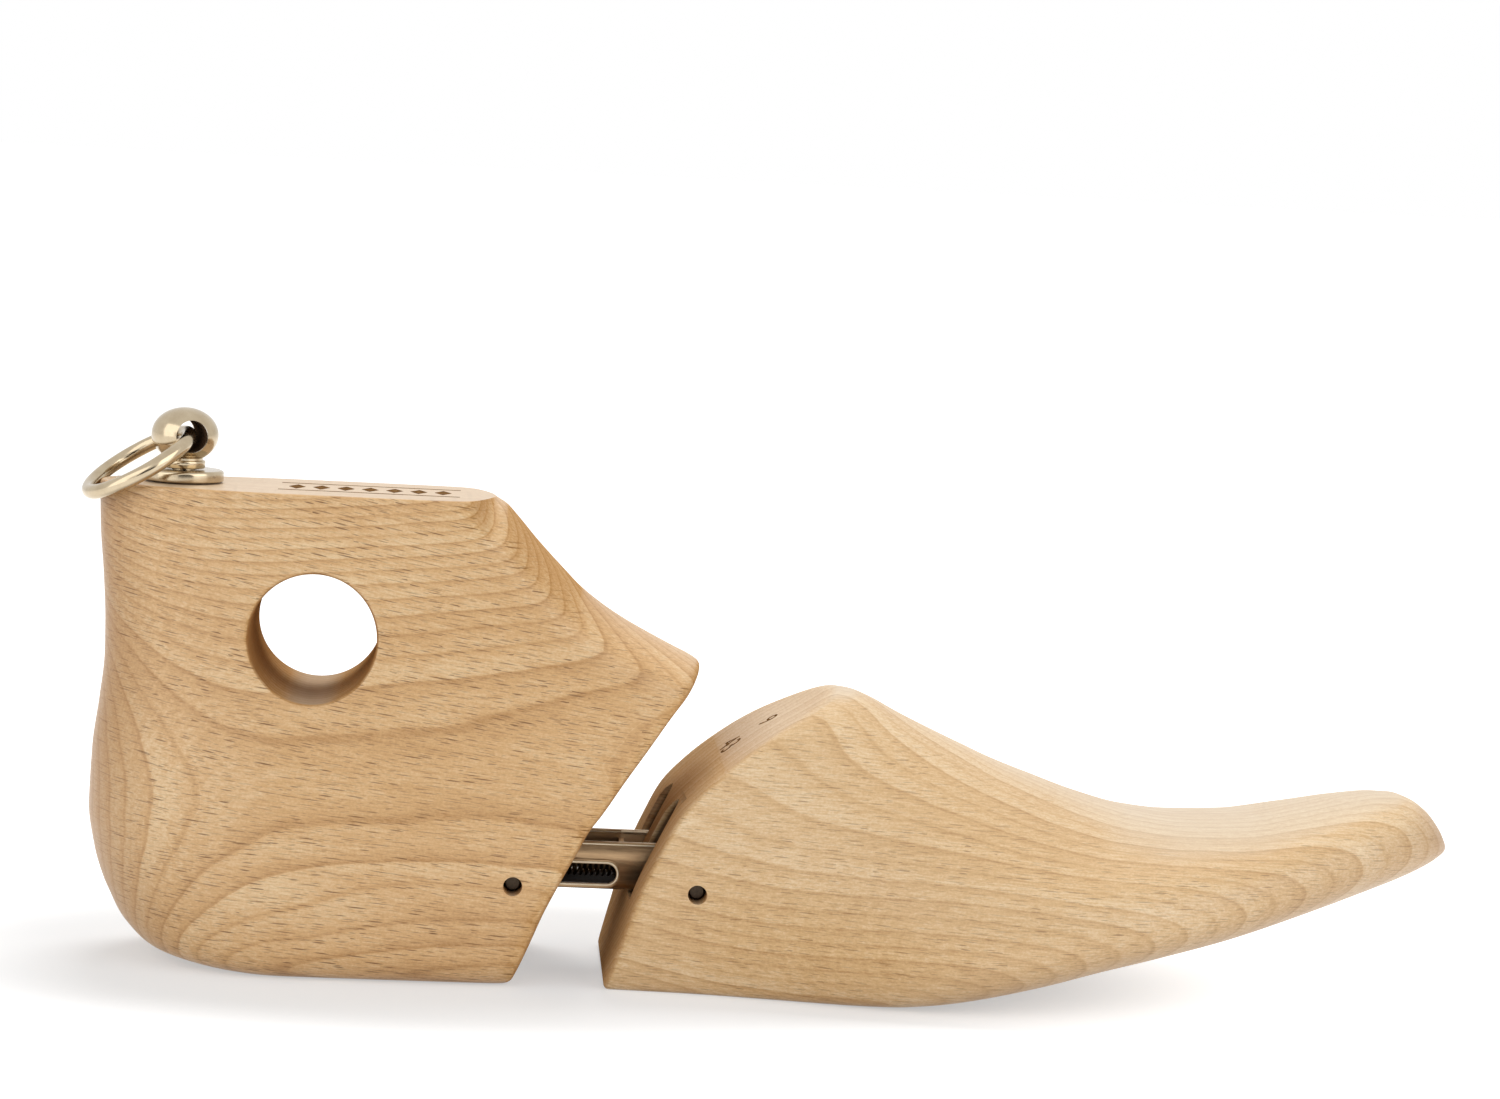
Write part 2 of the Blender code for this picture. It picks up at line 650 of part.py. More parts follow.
def make_link():
    length = LINK_FRONT - LINK_REAR + 2 * OVERRUN
    middle = (LINK_FRONT + LINK_REAR) / 2
    section = plate_mesh("link", channel_outline(), length, frame((middle, 0, 0), (0, 1, 0), (0, 0, 1)))
    link = add_piece("link_channel", section, "bronzed_steel", lift_axis)
    centre = (LINK_TOP + LINK_BOTTOM) / 2
    tail = LINK_FOLD
    side_view = (
        arc((LINK_FRONT - EAR_RADIUS, centre), EAR_RADIUS, -90, 90, EAR_STEPS)
        + arc((LINK_REAR + tail, LINK_TOP - tail), tail, 90, 180, TAIL_STEPS)
        + arc((LINK_REAR + tail, LINK_BOTTOM + tail), tail, 180, 270, TAIL_STEPS)
    )
    boolean(link, add_cutter("link_side", plate_mesh(
        "link_side", side_view, LINK_WIDTH + 2 * OVERRUN, upright())), "INTERSECT")
    inner = LINK_WIDTH / 2 - SHEET
    ear = inner + FIT / 2
    boolean(link, add_cutter("web_end", box_mesh(
        "web_end", (TAB_FRONT - SHEET / 2, -ear, LINK_BOTTOM - OVERRUN),
        (LINK_FRONT + OVERRUN, ear, LINK_TOP + OVERRUN))))
    boolean(link, add_cutter("spring_tab", box_mesh(
        "spring_tab", (TAB_REAR, FIT - inner, LINK_BOTTOM + SHEET / 2),
        (TAB_FRONT, inner - FIT, LINK_BOTTOM + TAB_HEIGHT))), "UNION")
    ends = (SLOT_REAR + SLOT_HEIGHT / 2, SLOT_FRONT - SLOT_HEIGHT / 2)
    for side in (-1, 1):
        name = "rim_near" if side < 0 else "rim_far"
        depth = SHEET / 2 + RIM_RELIEF
        place = side * (LINK_WIDTH / 2 + RIM_RELIEF - depth / 2)
        outline = slot_outline(*ends, PIN_HEIGHT, SLOT_HEIGHT / 2 + SLOT_RIM)
        boolean(link, add_cutter(name, plate_mesh(name, outline, depth, upright(place))), "UNION")
    outline = slot_outline(*ends, PIN_HEIGHT, SLOT_HEIGHT / 2)
    boolean(link, add_cutter("slots", plate_mesh(
        "slots", outline, LINK_WIDTH + 2 * OVERRUN, upright())))
    reach = LINK_WIDTH / 2 + OVERRUN
    boolean(link, add_cutter("ear_holes", rod_mesh(
        "ear_holes", PIN_DIAMETER + 2 * FIT, (FORE_PIN_X, -reach, PIN_HEIGHT), (FORE_PIN_X, reach, PIN_HEIGHT))))
    boolean(link, add_cutter("tab_hole", rod_mesh(
        "tab_hole", GUIDE_DIAMETER + 2 * FIT,
        (TAB_REAR - OVERRUN / 2, 0, SPRING_HEIGHT), (TAB_FRONT + OVERRUN / 2, 0, SPRING_HEIGHT))))
    weld = link.modifiers.new("weld", "WELD")
    weld.merge_threshold = WELD


def make_pins():
    """The two cross pins, each sunk below the wood at both ends."""
    reach = (HEEL_PIN_X - HEEL_REACH * WIDEST_SHARE) / (heel_section(PIN_HEIGHT)[1] - HEEL_REACH * WIDEST_SHARE)
    heel_half = heel_section(PIN_HEIGHT)[2] * (1 - reach ** NOSE_POWER) ** (1 / NOSE_POWER) - PIN_RECESS
    fore_half = FORE_WIDTH / 2 * smooth(PLAN_SHARES, (FORE_PIN_X - FORE_START) / FORE_LENGTH) - PIN_RECESS
    add_piece("heel_pin", rod_mesh(
        "heel_pin", PIN_DIAMETER, (HEEL_PIN_X, -heel_half, PIN_HEIGHT), (HEEL_PIN_X, heel_half, PIN_HEIGHT),
    ), "bright_steel", slide_axis)
    add_piece("forepart_pin", rod_mesh(
        "forepart_pin", PIN_DIAMETER, (FORE_PIN_X, -fore_half, PIN_HEIGHT), (FORE_PIN_X, fore_half, PIN_HEIGHT),
    ), "bright_steel", root)


def along_link(x):
    """A turned piece laid down in the link, its top towards the toe, with its height zero at x."""
    return Matrix.Translation((x, 0, SPRING_HEIGHT)) @ Matrix.Rotation(math.pi / 2, 4, "Y")


def make_spring():
    """The spring, the saddle that presses it and the rod that keeps it straight."""
    seat, spigot = SPRING_DIAMETER / 2, SPIGOT_DIAMETER / 2
    top = SEAT_FRONT - HEEL_PIN_X
    base = PIN_DIAMETER / 4
    profile = [(0, top + SPIGOT_LENGTH), (spigot, top + SPIGOT_LENGTH), (spigot, top), (seat, top),
               (seat, base), (0, base)]
    mesh = turned_mesh("spring_seat", profile, HOLE_STEPS)
    mesh.transform(along_link(HEEL_PIN_X))
    saddle = add_piece("spring_seat", mesh, "bright_steel", slide_axis)
    boolean(saddle, add_cutter("saddle_groove", rod_mesh(
        "saddle_groove", PIN_DIAMETER + 2 * FIT, (HEEL_PIN_X, -seat - OVERRUN, PIN_HEIGHT),
        (HEEL_PIN_X, seat + OVERRUN, PIN_HEIGHT))))

    rod, head = GUIDE_DIAMETER / 2, RIVET_DIAMETER / 2
    long = TAB_FRONT - (SEAT_FRONT + SPIGOT_LENGTH + SLIDE_TRAVEL + GUIDE_GAP)
    profile = [(0, FIT + RIVET_HEAD), (head / 2, FIT + RIVET_HEAD), (head, FIT + RIVET_HEAD / 2),
               (head, FIT), (rod, FIT), (rod, -long), (0, -long)]
    mesh = turned_mesh("spring_guide", profile, HOLE_STEPS)
    mesh.transform(along_link(TAB_FRONT))
    add_piece("spring_guide", mesh, "bright_steel", lift_axis)

    start = SEAT_FRONT + FIT + SPRING_WIRE
    end = TAB_REAR - FIT - SPRING_WIRE
    radius = (SPRING_DIAMETER - SPRING_WIRE) / 2
    count = SPRING_TURNS * SPRING_POINTS
    coil = []
    for k in range(count + 1):
        angle = 2 * math.pi * k / SPRING_POINTS
        x = start + (end - start) * k / count
        coil.append(Vector((x, radius * math.cos(angle), SPRING_HEIGHT + radius * math.sin(angle))))
    first = coil[0] - (coil[1] - coil[0]).normalized() * SPRING_WIRE
    last = coil[-1] + (coil[-1] - coil[-2]).normalized() * SPRING_WIRE
    gap = min(
        (coil[i] - coil[j]).length - SPRING_WIRE
        for i in range(len(coil)) for j in range(i + SPRING_POINTS // 2, len(coil))
    )
    print(f"least gap of link_spring to itself: {gap * MM_PER_M:.2f} mm")
    curve = bpy.data.curves.new("link_spring", "CURVE")
    curve.dimensions = "3D"
    curve.bevel_depth = SPRING_WIRE / 2
    curve.bevel_resolution = 1
    curve.use_fill_caps = True
    spline = curve.splines.new("POLY")
    spline.points.add(len(coil) + 1)
    for point, place in zip(spline.points, [first] + coil + [last]):
        point.co = (*place, 1.0)
    holder = bpy.data.objects.new("link_spring_wire", curve)
    cutters.objects.link(holder)
    add_piece("link_spring", mesh_of(holder), "bright_steel", lift_axis)


def make_knob():
    """The rosette, the threaded insert and the ball knob with its shank, all about the knob's axis."""
    place = Matrix.Translation((KNOB_X, 0, HEEL_HEIGHT))
    bore = SHANK_DIAMETER / 2 + FIT
    outer = ROSETTE_DIAMETER / 2
    low, high = FIT, FIT + ROSETTE_THICKNESS
    profile = [(bore, high)] + [
        (outer - ROSETTE_EDGE + x, high - ROSETTE_EDGE + z)
        for x, z in arc((0, 0), ROSETTE_EDGE, 90, 0, 3)
    ] + [(outer, low + ROSETTE_EDGE / 2), (outer - ROSETTE_EDGE / 2, low), (bore, low)]
    mesh = turned_mesh("knob_rosette", profile + profile[:1])
    mesh.transform(place)
    add_piece("knob_rosette", mesh, "polished_nickel", slide_axis)

    outer = INSERT_DIAMETER / 2
    profile = [(bore, -FIT), (outer, -FIT), (outer, -INSERT_LENGTH), (bore, -INSERT_LENGTH)]
    mesh = turned_mesh("knob_insert", profile + profile[:1], HOLE_STEPS)
    mesh.transform(place)
    add_piece("knob_insert", mesh, "brass", slide_axis)

    neck, shank = NECK_DIAMETER / 2, SHANK_DIAMETER / 2
    base = high + FIT
    waist = math.degrees(math.asin(neck / (BALL_DIAMETER / 2)))
    ball = [
        (BALL_DIAMETER / 2 * math.sin(math.radians(a)), EYE_RISE + BALL_HEIGHT / 2 * math.cos(math.radians(a)))
        for a in np.linspace(0, 180 - waist, BALL_STEPS + 1)
    ]
    foot = [(neck, base), (shank, base), (shank, FIT - SHANK_LENGTH), (0, FIT - SHANK_LENGTH)]
    mesh = turned_mesh("ball_knob", ball + foot)
    mesh.transform(place)
    knob = add_piece("ball_knob", mesh, "polished_nickel", slide_axis)
    radius, half = EYE_DIAMETER / 2, BALL_DIAMETER / 2
    flare = [
        (radius + EYE_FLARE * (1 - math.cos(math.radians(a))), half - 2 * EYE_FLARE * (1 - math.sin(math.radians(a))))
        for a in (90, 60, 30, 0)
    ]
    upper = [(0, half + OVERRUN), (radius + EYE_FLARE, half + OVERRUN)] + flare
    lower = [(r, -z) for r, z in reversed(upper)]
    mesh = turned_mesh("knob_eye", upper + lower, HOLE_STEPS)
    mesh.transform(frame(EYE, RING_DOWN, EYE_AXIS.cross(RING_DOWN)))
    boolean(knob, add_cutter("knob_eye", mesh))


def make_ring():
    """The pull ring, threaded through the knob's eye and let down on the wood."""
    section = arc((RING_RADIUS, 0), RING_WIRE / 2, 90, -270, WIRE_STEPS)
    mesh = turned_mesh("pull_ring", section, RING_STEPS)
    mesh.transform(frame(EYE + RING_DOWN * RING_OFFSET, RING_DOWN, EYE_AXIS))
    add_piece("pull_ring", mesh, "polished_nickel", ring_axis)


# Places worked out from the sizes
FORE_START = heel_cut(0) + BLOCK_GAP
HEEL_PIN_X = heel_cut(PIN_HEIGHT) - HEEL_PIN_INSET
FORE_PIN_X = fore_face(PIN_HEIGHT) + FORE_PIN_INSET
LINK_TOP = PIN_HEIGHT + LINK_RISE
LINK_BOTTOM = PIN_HEIGHT - LINK_DROP
LINK_REAR = HEEL_PIN_X - LINK_TAIL
LINK_FRONT = FORE_PIN_X + LINK_NOSE
EAR_RADIUS = (LINK_RISE + LINK_DROP) / 2
TAB_FRONT = fore_face(PIN_HEIGHT) - TAB_SETBACK
TAB_REAR = TAB_FRONT - SHEET
SLOT_REAR = HEEL_PIN_X - PIN_DIAMETER / 2 - FIT
SLOT_FRONT = TAB_REAR - SHEET / 2
POCKET_HALF = LINK_WIDTH / 2 + RIM_RELIEF + SIDE_PLAY
KERF_WIDTH = SHEET + 2 * SIDE_PLAY
MOUTH_OUTSIDE = 2 * OVERRUN
SPRING_HEIGHT = LINK_BOTTOM + SHEET + SIDE_PLAY + SPRING_DIAMETER / 2
SEAT_FRONT = HEEL_PIN_X + SEAT_LENGTH
NECK_TOP = 2 * FIT + ROSETTE_THICKNESS + NECK_HEIGHT
EYE_RISE = NECK_TOP + BALL_HEIGHT / 2 * math.sqrt(1 - (NECK_DIAMETER / BALL_DIAMETER) ** 2)
EYE = Vector((KNOB_X, 0, HEEL_HEIGHT + EYE_RISE))
EYE_AXIS = Matrix.Rotation(math.radians(KNOB_TURN_DEGREES), 3, "Z") @ Vector((0, 1, 0))
RING_LEVEL = Vector((0, 0, 1)).cross(EYE_AXIS)
RING_DOWN = Matrix.Rotation(math.radians(-RING_DROP_DEGREES), 3, EYE_AXIS) @ RING_LEVEL
JOINT_PLACES = {
    "tree_root": Vector((SEAT_FROM_BACK, 0, 0)),
    "link_lift_axis": Vector((FORE_PIN_X, 0, PIN_HEIGHT)),
    "heel_slide_axis": Vector((HEEL_PIN_X, 0, PIN_HEIGHT)),
    "ring_swing_axis": EYE,
}

clear_scene()
tree = make_collection("boot_tree")
cutters = make_collection("cutters")
root = add_empty("tree_root")
lift_axis = add_empty("link_lift_axis", root)
slide_axis = add_empty("heel_slide_axis", lift_axis)
ring_axis = add_empty("ring_swing_axis", slide_axis)
make_heel_block()
make_forepart()
make_link()
make_pins()
make_spring()
make_knob()
make_ring()
root.location = (0, 0, 0)
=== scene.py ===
"""A beech boot tree: the finish of its wood and metal, the floor, the light and the camera.

Metres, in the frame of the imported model: toe towards +X, heights counted from the floor.
Lengths of the wood are counted from the back of the heel, as a last maker does, and moved at the end.
"""

import math

import bmesh
import bpy
import numpy as np
from mathutils import Matrix, Vector
from mathutils.bvhtree import BVHTree


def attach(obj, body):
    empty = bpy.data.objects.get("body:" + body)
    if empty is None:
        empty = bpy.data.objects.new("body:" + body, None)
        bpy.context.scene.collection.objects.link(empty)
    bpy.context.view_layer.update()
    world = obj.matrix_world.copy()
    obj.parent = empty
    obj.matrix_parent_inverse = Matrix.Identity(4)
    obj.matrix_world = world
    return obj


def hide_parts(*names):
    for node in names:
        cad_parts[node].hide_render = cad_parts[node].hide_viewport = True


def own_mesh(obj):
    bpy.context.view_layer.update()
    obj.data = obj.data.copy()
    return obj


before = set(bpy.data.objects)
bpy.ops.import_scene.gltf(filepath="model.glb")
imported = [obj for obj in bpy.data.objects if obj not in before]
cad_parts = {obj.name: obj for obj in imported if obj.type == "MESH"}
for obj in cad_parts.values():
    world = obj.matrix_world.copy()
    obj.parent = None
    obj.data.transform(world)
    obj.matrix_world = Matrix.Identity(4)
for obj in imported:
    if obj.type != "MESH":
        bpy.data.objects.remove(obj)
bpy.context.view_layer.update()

MM = 0.001
SEAT_FROM_BACK = 62 * MM

# Heel block
HEEL_HEIGHT = 106.0 * MM
HEEL_REACH = 134.4 * MM
HEEL_WIDTH = 58.0 * MM
ANKLE_WIDTH = 38.5 * MM
HEEL_EDGE = 7.0 * MM
ANKLE_EDGE = 0.9 * MM
CUT_EDGE = 1.6 * MM
INSTEP_WIDTH = 72.0 * MM
INSTEP_BLEND = 2.2 * MM
FINGER_HOLE = 28.0 * MM
FINGER_HOLE_X = 49.0 * MM
FINGER_HOLE_Z = 74.6 * MM
FINGER_HOLE_LIP = 1.0 * MM

# Forepart
BLOCK_GAP = 20.3 * MM
FORE_LENGTH = 193.6 * MM
FORE_HEIGHT = 66.4 * MM
FORE_WIDTH = 90.0 * MM
FACE_RUN = 49.8 * MM
FACE_SKEW = 0.065
TOE_SWING = 5.0 * MM
TOE_NOSE = 0.4 * MM

# Cross pins and link
PIN_HEIGHT = 23.0 * MM
PIN_DIAMETER = 3.6 * MM
PIN_RECESS = 4.5 * MM
PIN_CHAMFER = 0.35 * MM
HEEL_PIN_INSET = 10.1 * MM
FORE_PIN_INSET = 13.1 * MM
LINK_WIDTH = 17.4 * MM
SHEET = 1.2 * MM
LINK_RISE = 7.2 * MM
LINK_DROP = 3.8 * MM
LINK_TAIL = 5.6 * MM
LINK_NOSE = 6.4 * MM
RIM_RELIEF = 0.3 * MM
TAB_SETBACK = 2.2 * MM
SLIDE_TRAVEL = 8.0 * MM
KERF_TIP_BACK = 3.8 * MM
KERF_TIP_RISE = 17.5 * MM
KERF_POINT = 4.0 * MM
MOUTH_WIDTH = 11.6 * MM
MOUTH_MIDDLE = 9.7 * MM
MOUTH_RISE = 18.0 * MM
MOUTH_SIDE_RISE = 9.5 * MM
MOUTH_DEPTH = 5.5 * MM
MOUTH_POWER = 4
SLOT_HEIGHT = 4.6 * MM
RIM_OUT = 0.25 * MM
RIM_BEAD = 0.36 * MM
EDGE_BEAD = 0.62 * MM
EDGE_BEAD_DROP = 0.5 * MM
EDGE_BEAD_INSET = 3.0 * MM
PRESSED_EDGE = 0.14 * MM

# The mark burnt into the ankle's top
MARK_X = 59.6 * MM
MARK_LENGTH = 40.0 * MM
MARK_LOZENGES = 7
MARK_SPACING = 5.4 * MM
BURN_THICKNESS = 0.08 * MM
LOZENGE_RADIUS = 1.9 * MM
LOZENGE_STRETCH = 2.6
BAR_WIDTH = 0.9 * MM
BAR_DISTANCE = 8.2 * MM

# The numbers burnt into the forepart's rear face: (digits, their size, their height on the face).
# They are laid on the face from a little way off, and a digit takes up only a share of its type size.
NUMBERS = (("9", 5.0 * MM, 57.8 * MM), ("43", 5.7 * MM, 51.8 * MM))
NUMBER_ACROSS = 1.0 * MM
CAST_FROM = 20.0 * MM
DIGIT_SHARE = 0.72

# Spring, its seat and its guide
SPRING_DIAMETER = 7.0 * MM
SPRING_WIRE = 0.7 * MM
SPRING_TURNS = 14
SEAT_LENGTH = 4.2 * MM
SPIGOT_DIAMETER = 4.2 * MM
SPIGOT_LENGTH = 2.2 * MM
GUIDE_DIAMETER = 4.0 * MM
GUIDE_GAP = 1.2 * MM
RIVET_DIAMETER = 6.2 * MM
RIVET_HEAD = 0.9 * MM

# Knob, ring and insert
KNOB_X = 18.2 * MM
KNOB_TURN = math.radians(19.0)
ROSETTE_DIAMETER = 17.8 * MM
ROSETTE_THICKNESS = 2.5 * MM
NECK_DIAMETER = 9.4 * MM
NECK_HEIGHT = 2.6 * MM
BALL_DIAMETER = 14.8 * MM
BALL_HEIGHT = 12.2 * MM
EYE_DIAMETER = 7.2 * MM
EYE_FLARE = 0.5 * MM
EYE_LINING = 0.06 * MM
EYE_LINING_SHARE = 0.74
WAIST_DEPTH = 0.55 * MM
COLLAR_EDGE = 0.45 * MM
SHANK_DIAMETER = 5.0 * MM
SHANK_LENGTH = 15.0 * MM
INSERT_DIAMETER = 9.0 * MM
INSERT_LENGTH = 13.0 * MM
RING_RADIUS = 12.5 * MM
RING_WIRE = 3.3 * MM
RING_OFFSET = 11.9 * MM
RING_DROP = math.radians(32.0)

# Running clearances, the broken edge of small steel parts, and how far a cutter passes the face it cuts
FIT = 0.3 * MM
SIDE_PLAY = 0.5 * MM
STEEL_EDGE = 0.3 * MM
OVERRUN = 2.0 * MM

# The flare pressed into the link's side, in mm: (x, top, crest, crest out, foot), and its root in the sheet
FLARE_ROOT = -0.3
FLARE_SECTIONS = (
    (106.0, 28.3, 27.6, 0.02, 26.9), (112.0, 28.4, 27.3, 0.18, 26.3), (116.0, 28.6, 27.0, 0.30, 26.0),
    (119.3, 28.8, 26.7, 0.40, 25.7), (121.0, 28.9, 26.5, 0.45, 25.4), (123.0, 29.0, 26.3, 0.50, 25.1),
    (126.6, 29.0, 26.1, 0.56, 24.8),
)

# Outlines of the heel block: (share of its height, share of its reach)
HEEL_BACK_SHARES = (
    (0.000, 0.205), (0.008, 0.162), (0.029, 0.108), (0.062, 0.076), (0.095, 0.055),
    (0.129, 0.041), (0.163, 0.028), (0.230, 0.011), (0.320, 0.000), (0.434, 0.002),
    (0.540, 0.011), (0.634, 0.017), (0.705, 0.016), (0.800, 0.011), (0.906, 0.003), (1.000, 0.000),
)
HEEL_NOSE_SHARE = 1.500
HEEL_CUT_SHARES = (
    (0.000, 0.709), (0.089, 0.738), (0.159, 0.760), (0.232, 0.788), (0.286, 0.810),
    (0.331, 0.828), (0.366, 0.848), (0.436, 0.884), (0.505, 0.921), (0.573, 0.957),
    (0.634, 0.992), (0.676, 1.012), (1.000, 1.200),
)
# The instep's ridge: (share of the reach, share of the height)
INSTEP_SHARES = (
    (0.300, 2.600), (0.480, 1.640), (0.570, 1.220), (0.620, 1.060), (0.648, 1.003),
    (0.670, 0.985), (0.693, 0.955), (0.721, 0.915), (0.746, 0.882), (0.772, 0.849),
    (0.798, 0.817), (0.831, 0.785), (0.871, 0.753), (0.919, 0.721), (0.977, 0.686),
    (1.020, 0.664), (1.120, 0.640), (1.300, 0.620), (1.500, 0.600),
)
ANKLE_TAPER_SHARES = (
    (0.000, 0.040), (0.150, 0.000), (0.300, 0.050), (0.450, 0.280),
    (0.600, 0.600), (0.750, 0.860), (0.900, 0.990), (1.000, 1.000),
)
WIDEST_SHARE = 0.350
INSTEP_BASE_SHARE = 0.190
SECTION_POWER = 2.20

# Outlines of the forepart: (share of its length, share of its height)
RIDGE_SHARES = (
    (0.257, 1.000), (0.279, 0.992), (0.300, 0.970), (0.334, 0.920), (0.373, 0.867),
    (0.412, 0.817), (0.453, 0.766), (0.499, 0.718), (0.557, 0.661), (0.618, 0.618),
    (0.676, 0.603), (0.748, 0.612), (0.819, 0.651), (0.879, 0.688), (0.913, 0.701),
    (0.932, 0.701), (0.951, 0.686), (0.971, 0.650), (0.989, 0.589), (1.000, 0.530),
)
SOLE_SHARES = (
    (0.000, 0.000), (0.200, 0.000), (0.270, 0.001), (0.330, 0.006), (0.370, 0.017),
    (0.415, 0.038), (0.490, 0.085), (0.565, 0.140), (0.643, 0.190), (0.720, 0.240),
    (0.800, 0.304), (0.876, 0.370), (0.940, 0.430), (0.975, 0.472), (1.000, 0.512),
)
FACE_SHARES = (
    (0.000, 0.000), (0.150, 0.059), (0.316, 0.121), (0.482, 0.213), (0.587, 0.284),
    (0.678, 0.389), (0.768, 0.523), (0.858, 0.684), (0.934, 0.855), (1.000, 1.000),
)
PLAN_SHARES = (
    (0.000, 0.610), (0.100, 0.660), (0.190, 0.745), (0.270, 0.840), (0.350, 0.930),
    (0.430, 0.985), (0.500, 1.000), (0.580, 0.975), (0.660, 0.905), (0.730, 0.808),
    (0.800, 0.688), (0.865, 0.555), (0.920, 0.422), (0.960, 0.300), (0.985, 0.183),
    (0.994, 0.112), (0.998, 0.062), (1.000, 0.020),
)
WIDEST_HEIGHT_SHARES = ((0.000, 0.230), (0.300, 0.260), (0.600, 0.360), (1.000, 0.450))
FLAT_SOLE_SHARES = ((0.000, 0.830), (0.300, 0.800), (0.600, 0.620), (1.000, 0.300))
ARCH_POWER = 2.15

# How finely the wood is carved
HEEL_SLICES = ((0.066, 24), (0.580, 84), (0.700, 40), (0.985, 56), (1.000, 10))
HEEL_FACE_POINTS = 44
HEEL_FLANK_POINTS = 96
FORE_SLICES = ((0.080, 14), (0.850, 110), (0.970, 34), (0.990, 12), (1.000, 12))
SOLE_POINTS = 12
CORNER_POINTS = 22
ARCH_POINTS = 54
EDGE_POINTS = 8
CAP_SHARES = (0.985, 0.94, 0.86, 0.74, 0.58, 0.40, 0.20)
MOUTH_POINTS = 32
KERF_POINTS = 40
TURNED_STEPS = 96
PIN_STEPS = 48
BALL_POINTS = 60
EYE_POINTS = 10
INSTEP_HALVINGS = 26
CORNER_HALVINGS = 20
LEAST_CORNER = math.radians(3.0)
FACE_CROWDING = 1.6
FLANK_CROWDING = 1.15
KERF_ARC_END = 440
KERF_NARROWING = 0.85

# Colours, written as sRGB hex
FLECK_BROWN = "6E4B2A"
END_GRAIN_BROWN = "9A6B3C"
# Painted sheen on the up-facing wood
PAINTED_TOP_SHEEN = "D9D2C4"
# Painted shade in the saw kerfs
KERF_SHADE_BROWN = "3E2A1B"
# Painted shade in the bottom of the link's channel
CHANNEL_SHADE_BROWN = "33281E"
FLOOR_BOUNCE = "E8E8E8"
FLOOR_SEEN = "BCBCBC"
CARD_BROWN = "3A332C"

# Light, floor and camera
ROOM_LIGHT = 0.40
FLOOR_HALF = 40.0
FLOOR_LIFT = 0.44
FAR_FLOOR_LIFT = 0.96
SHADOW_SCALE = (0.55, 1.0, 1.0)
SHADOW_SHIFT = (-0.017, 0.0, 0.0)
SHADOW_REACH = 0.055
WHITE_FROM = 0.105
# Soft boxes: name, place, target, width, height, power and whether polished metal shows them
LAMPS = (
    ("top_box", (0.13, 0.42, 0.95), (0.08, 0.0, 0.0), 0.6, 0.4, 6.0, False),
    ("left_box", (-0.85, -0.95, 0.55), (0.08, 0.0, 0.05), 1.7, 1.5, 9.0, True),
    ("side_box", (1.05, -0.85, 0.65), (0.10, 0.0, 0.05), 1.2, 1.2, 7.8, True),
)
CAMERA_TURN = math.radians(-4.0)
CAMERA_RISE = math.radians(5.8)
CAMERA_ROLL = math.radians(3.0)
CAMERA_TARGET = (0.083, 0.0, 0.0965)
CAMERA_DISTANCE = 0.85
LENS_MM = 90.78
FILM_MM = 36.0


def read_curve(table, share):
    """A two-column table read at one or many shares, along a curve that keeps its rises and falls."""
    x, y = np.array(table, float).T
    step = np.diff(x)
    slope = np.diff(y) / step
    turning = slope[:-1] * slope[1:] <= 0
    before = 2 * step[1:] + step[:-1]
    after = step[1:] + 2 * step[:-1]
    left = np.where(turning, 1.0, slope[:-1])
    right = np.where(turning, 1.0, slope[1:])
    inner = np.where(turning, 0.0, (before + after) / (before / left + after / right))
    tangent = np.concatenate(([slope[0]], inner, [slope[-1]]))
    i = np.clip(np.searchsorted(x, share) - 1, 0, len(step) - 1)
    t = np.clip((share - x[i]) / step[i], 0.0, 1.0)
    start = (1 + 2 * t) * (1 - t) ** 2 * y[i] + t * (1 - t) ** 2 * step[i] * tangent[i]
    end = t * t * (3 - 2 * t) * y[i + 1] + t * t * (t - 1) * step[i] * tangent[i + 1]
    return start + end


def stepped(stops):
    """Shares from 0 to 1, with the given number of even steps up to each stop."""
    shares = [0.0]
    for stop, count in stops:
        start = shares[-1]
        shares += [start + (stop - start) * (k + 1) / count for k in range(count)]
    return np.array(shares)


def rounding(distance, radius):
    """How far a rounded edge draws in at this distance from the face that it meets."""
    inside = np.clip(radius - distance, 0.0, radius)
    return radius - np.sqrt(radius * radius - inside * inside)


def blended(first, second, radius):
    """The shorter of two reaches, rounded off where they meet."""
    shorter, longer = np.minimum(first, second), np.maximum(first, second)
    return shorter - radius * np.log1p(np.exp((shorter - longer) / radius))


def last_inside(low, high, is_inside, halvings):
    """The largest values between low and high that are still inside, found by halving."""
    for _ in range(halvings):
        middle = (low + high) / 2
        inside = is_inside(middle)
        low = np.where(inside, middle, low)
        high = np.where(inside, high, middle)
    return low


def quarter(steps):
    """Angles from zero to a quarter turn, in even steps."""
    return [math.pi / 2 * k / steps for k in range(steps + 1)]


def heel_section(height):
    """Back, nose and half width of the heel block at each height, with its edges rounded."""
    share = height / HEEL_HEIGHT
    drawn = rounding(HEEL_HEIGHT - height, ANKLE_EDGE)
    back = HEEL_REACH * read_curve(HEEL_BACK_SHARES, share) + drawn
    nose = HEEL_REACH * HEEL_NOSE_SHARE - drawn
    width = HEEL_WIDTH + (ANKLE_WIDTH - HEEL_WIDTH) * read_curve(ANKLE_TAPER_SHARES, share)
    return back, nose, width / 2 - drawn - rounding(height, HEEL_EDGE)


def instep_half(x, height):
    """Half width of the arch under the instep's ridge."""
    base = HEEL_HEIGHT * INSTEP_BASE_SHARE
    ridge = HEEL_HEIGHT * read_curve(INSTEP_SHARES, x / HEEL_REACH)
    up = np.maximum(height - base, 0.0) / (ridge - base)
    return INSTEP_WIDTH / 2 * np.maximum(1 - up ** SECTION_POWER, 0.0) ** (1 / SECTION_POWER)


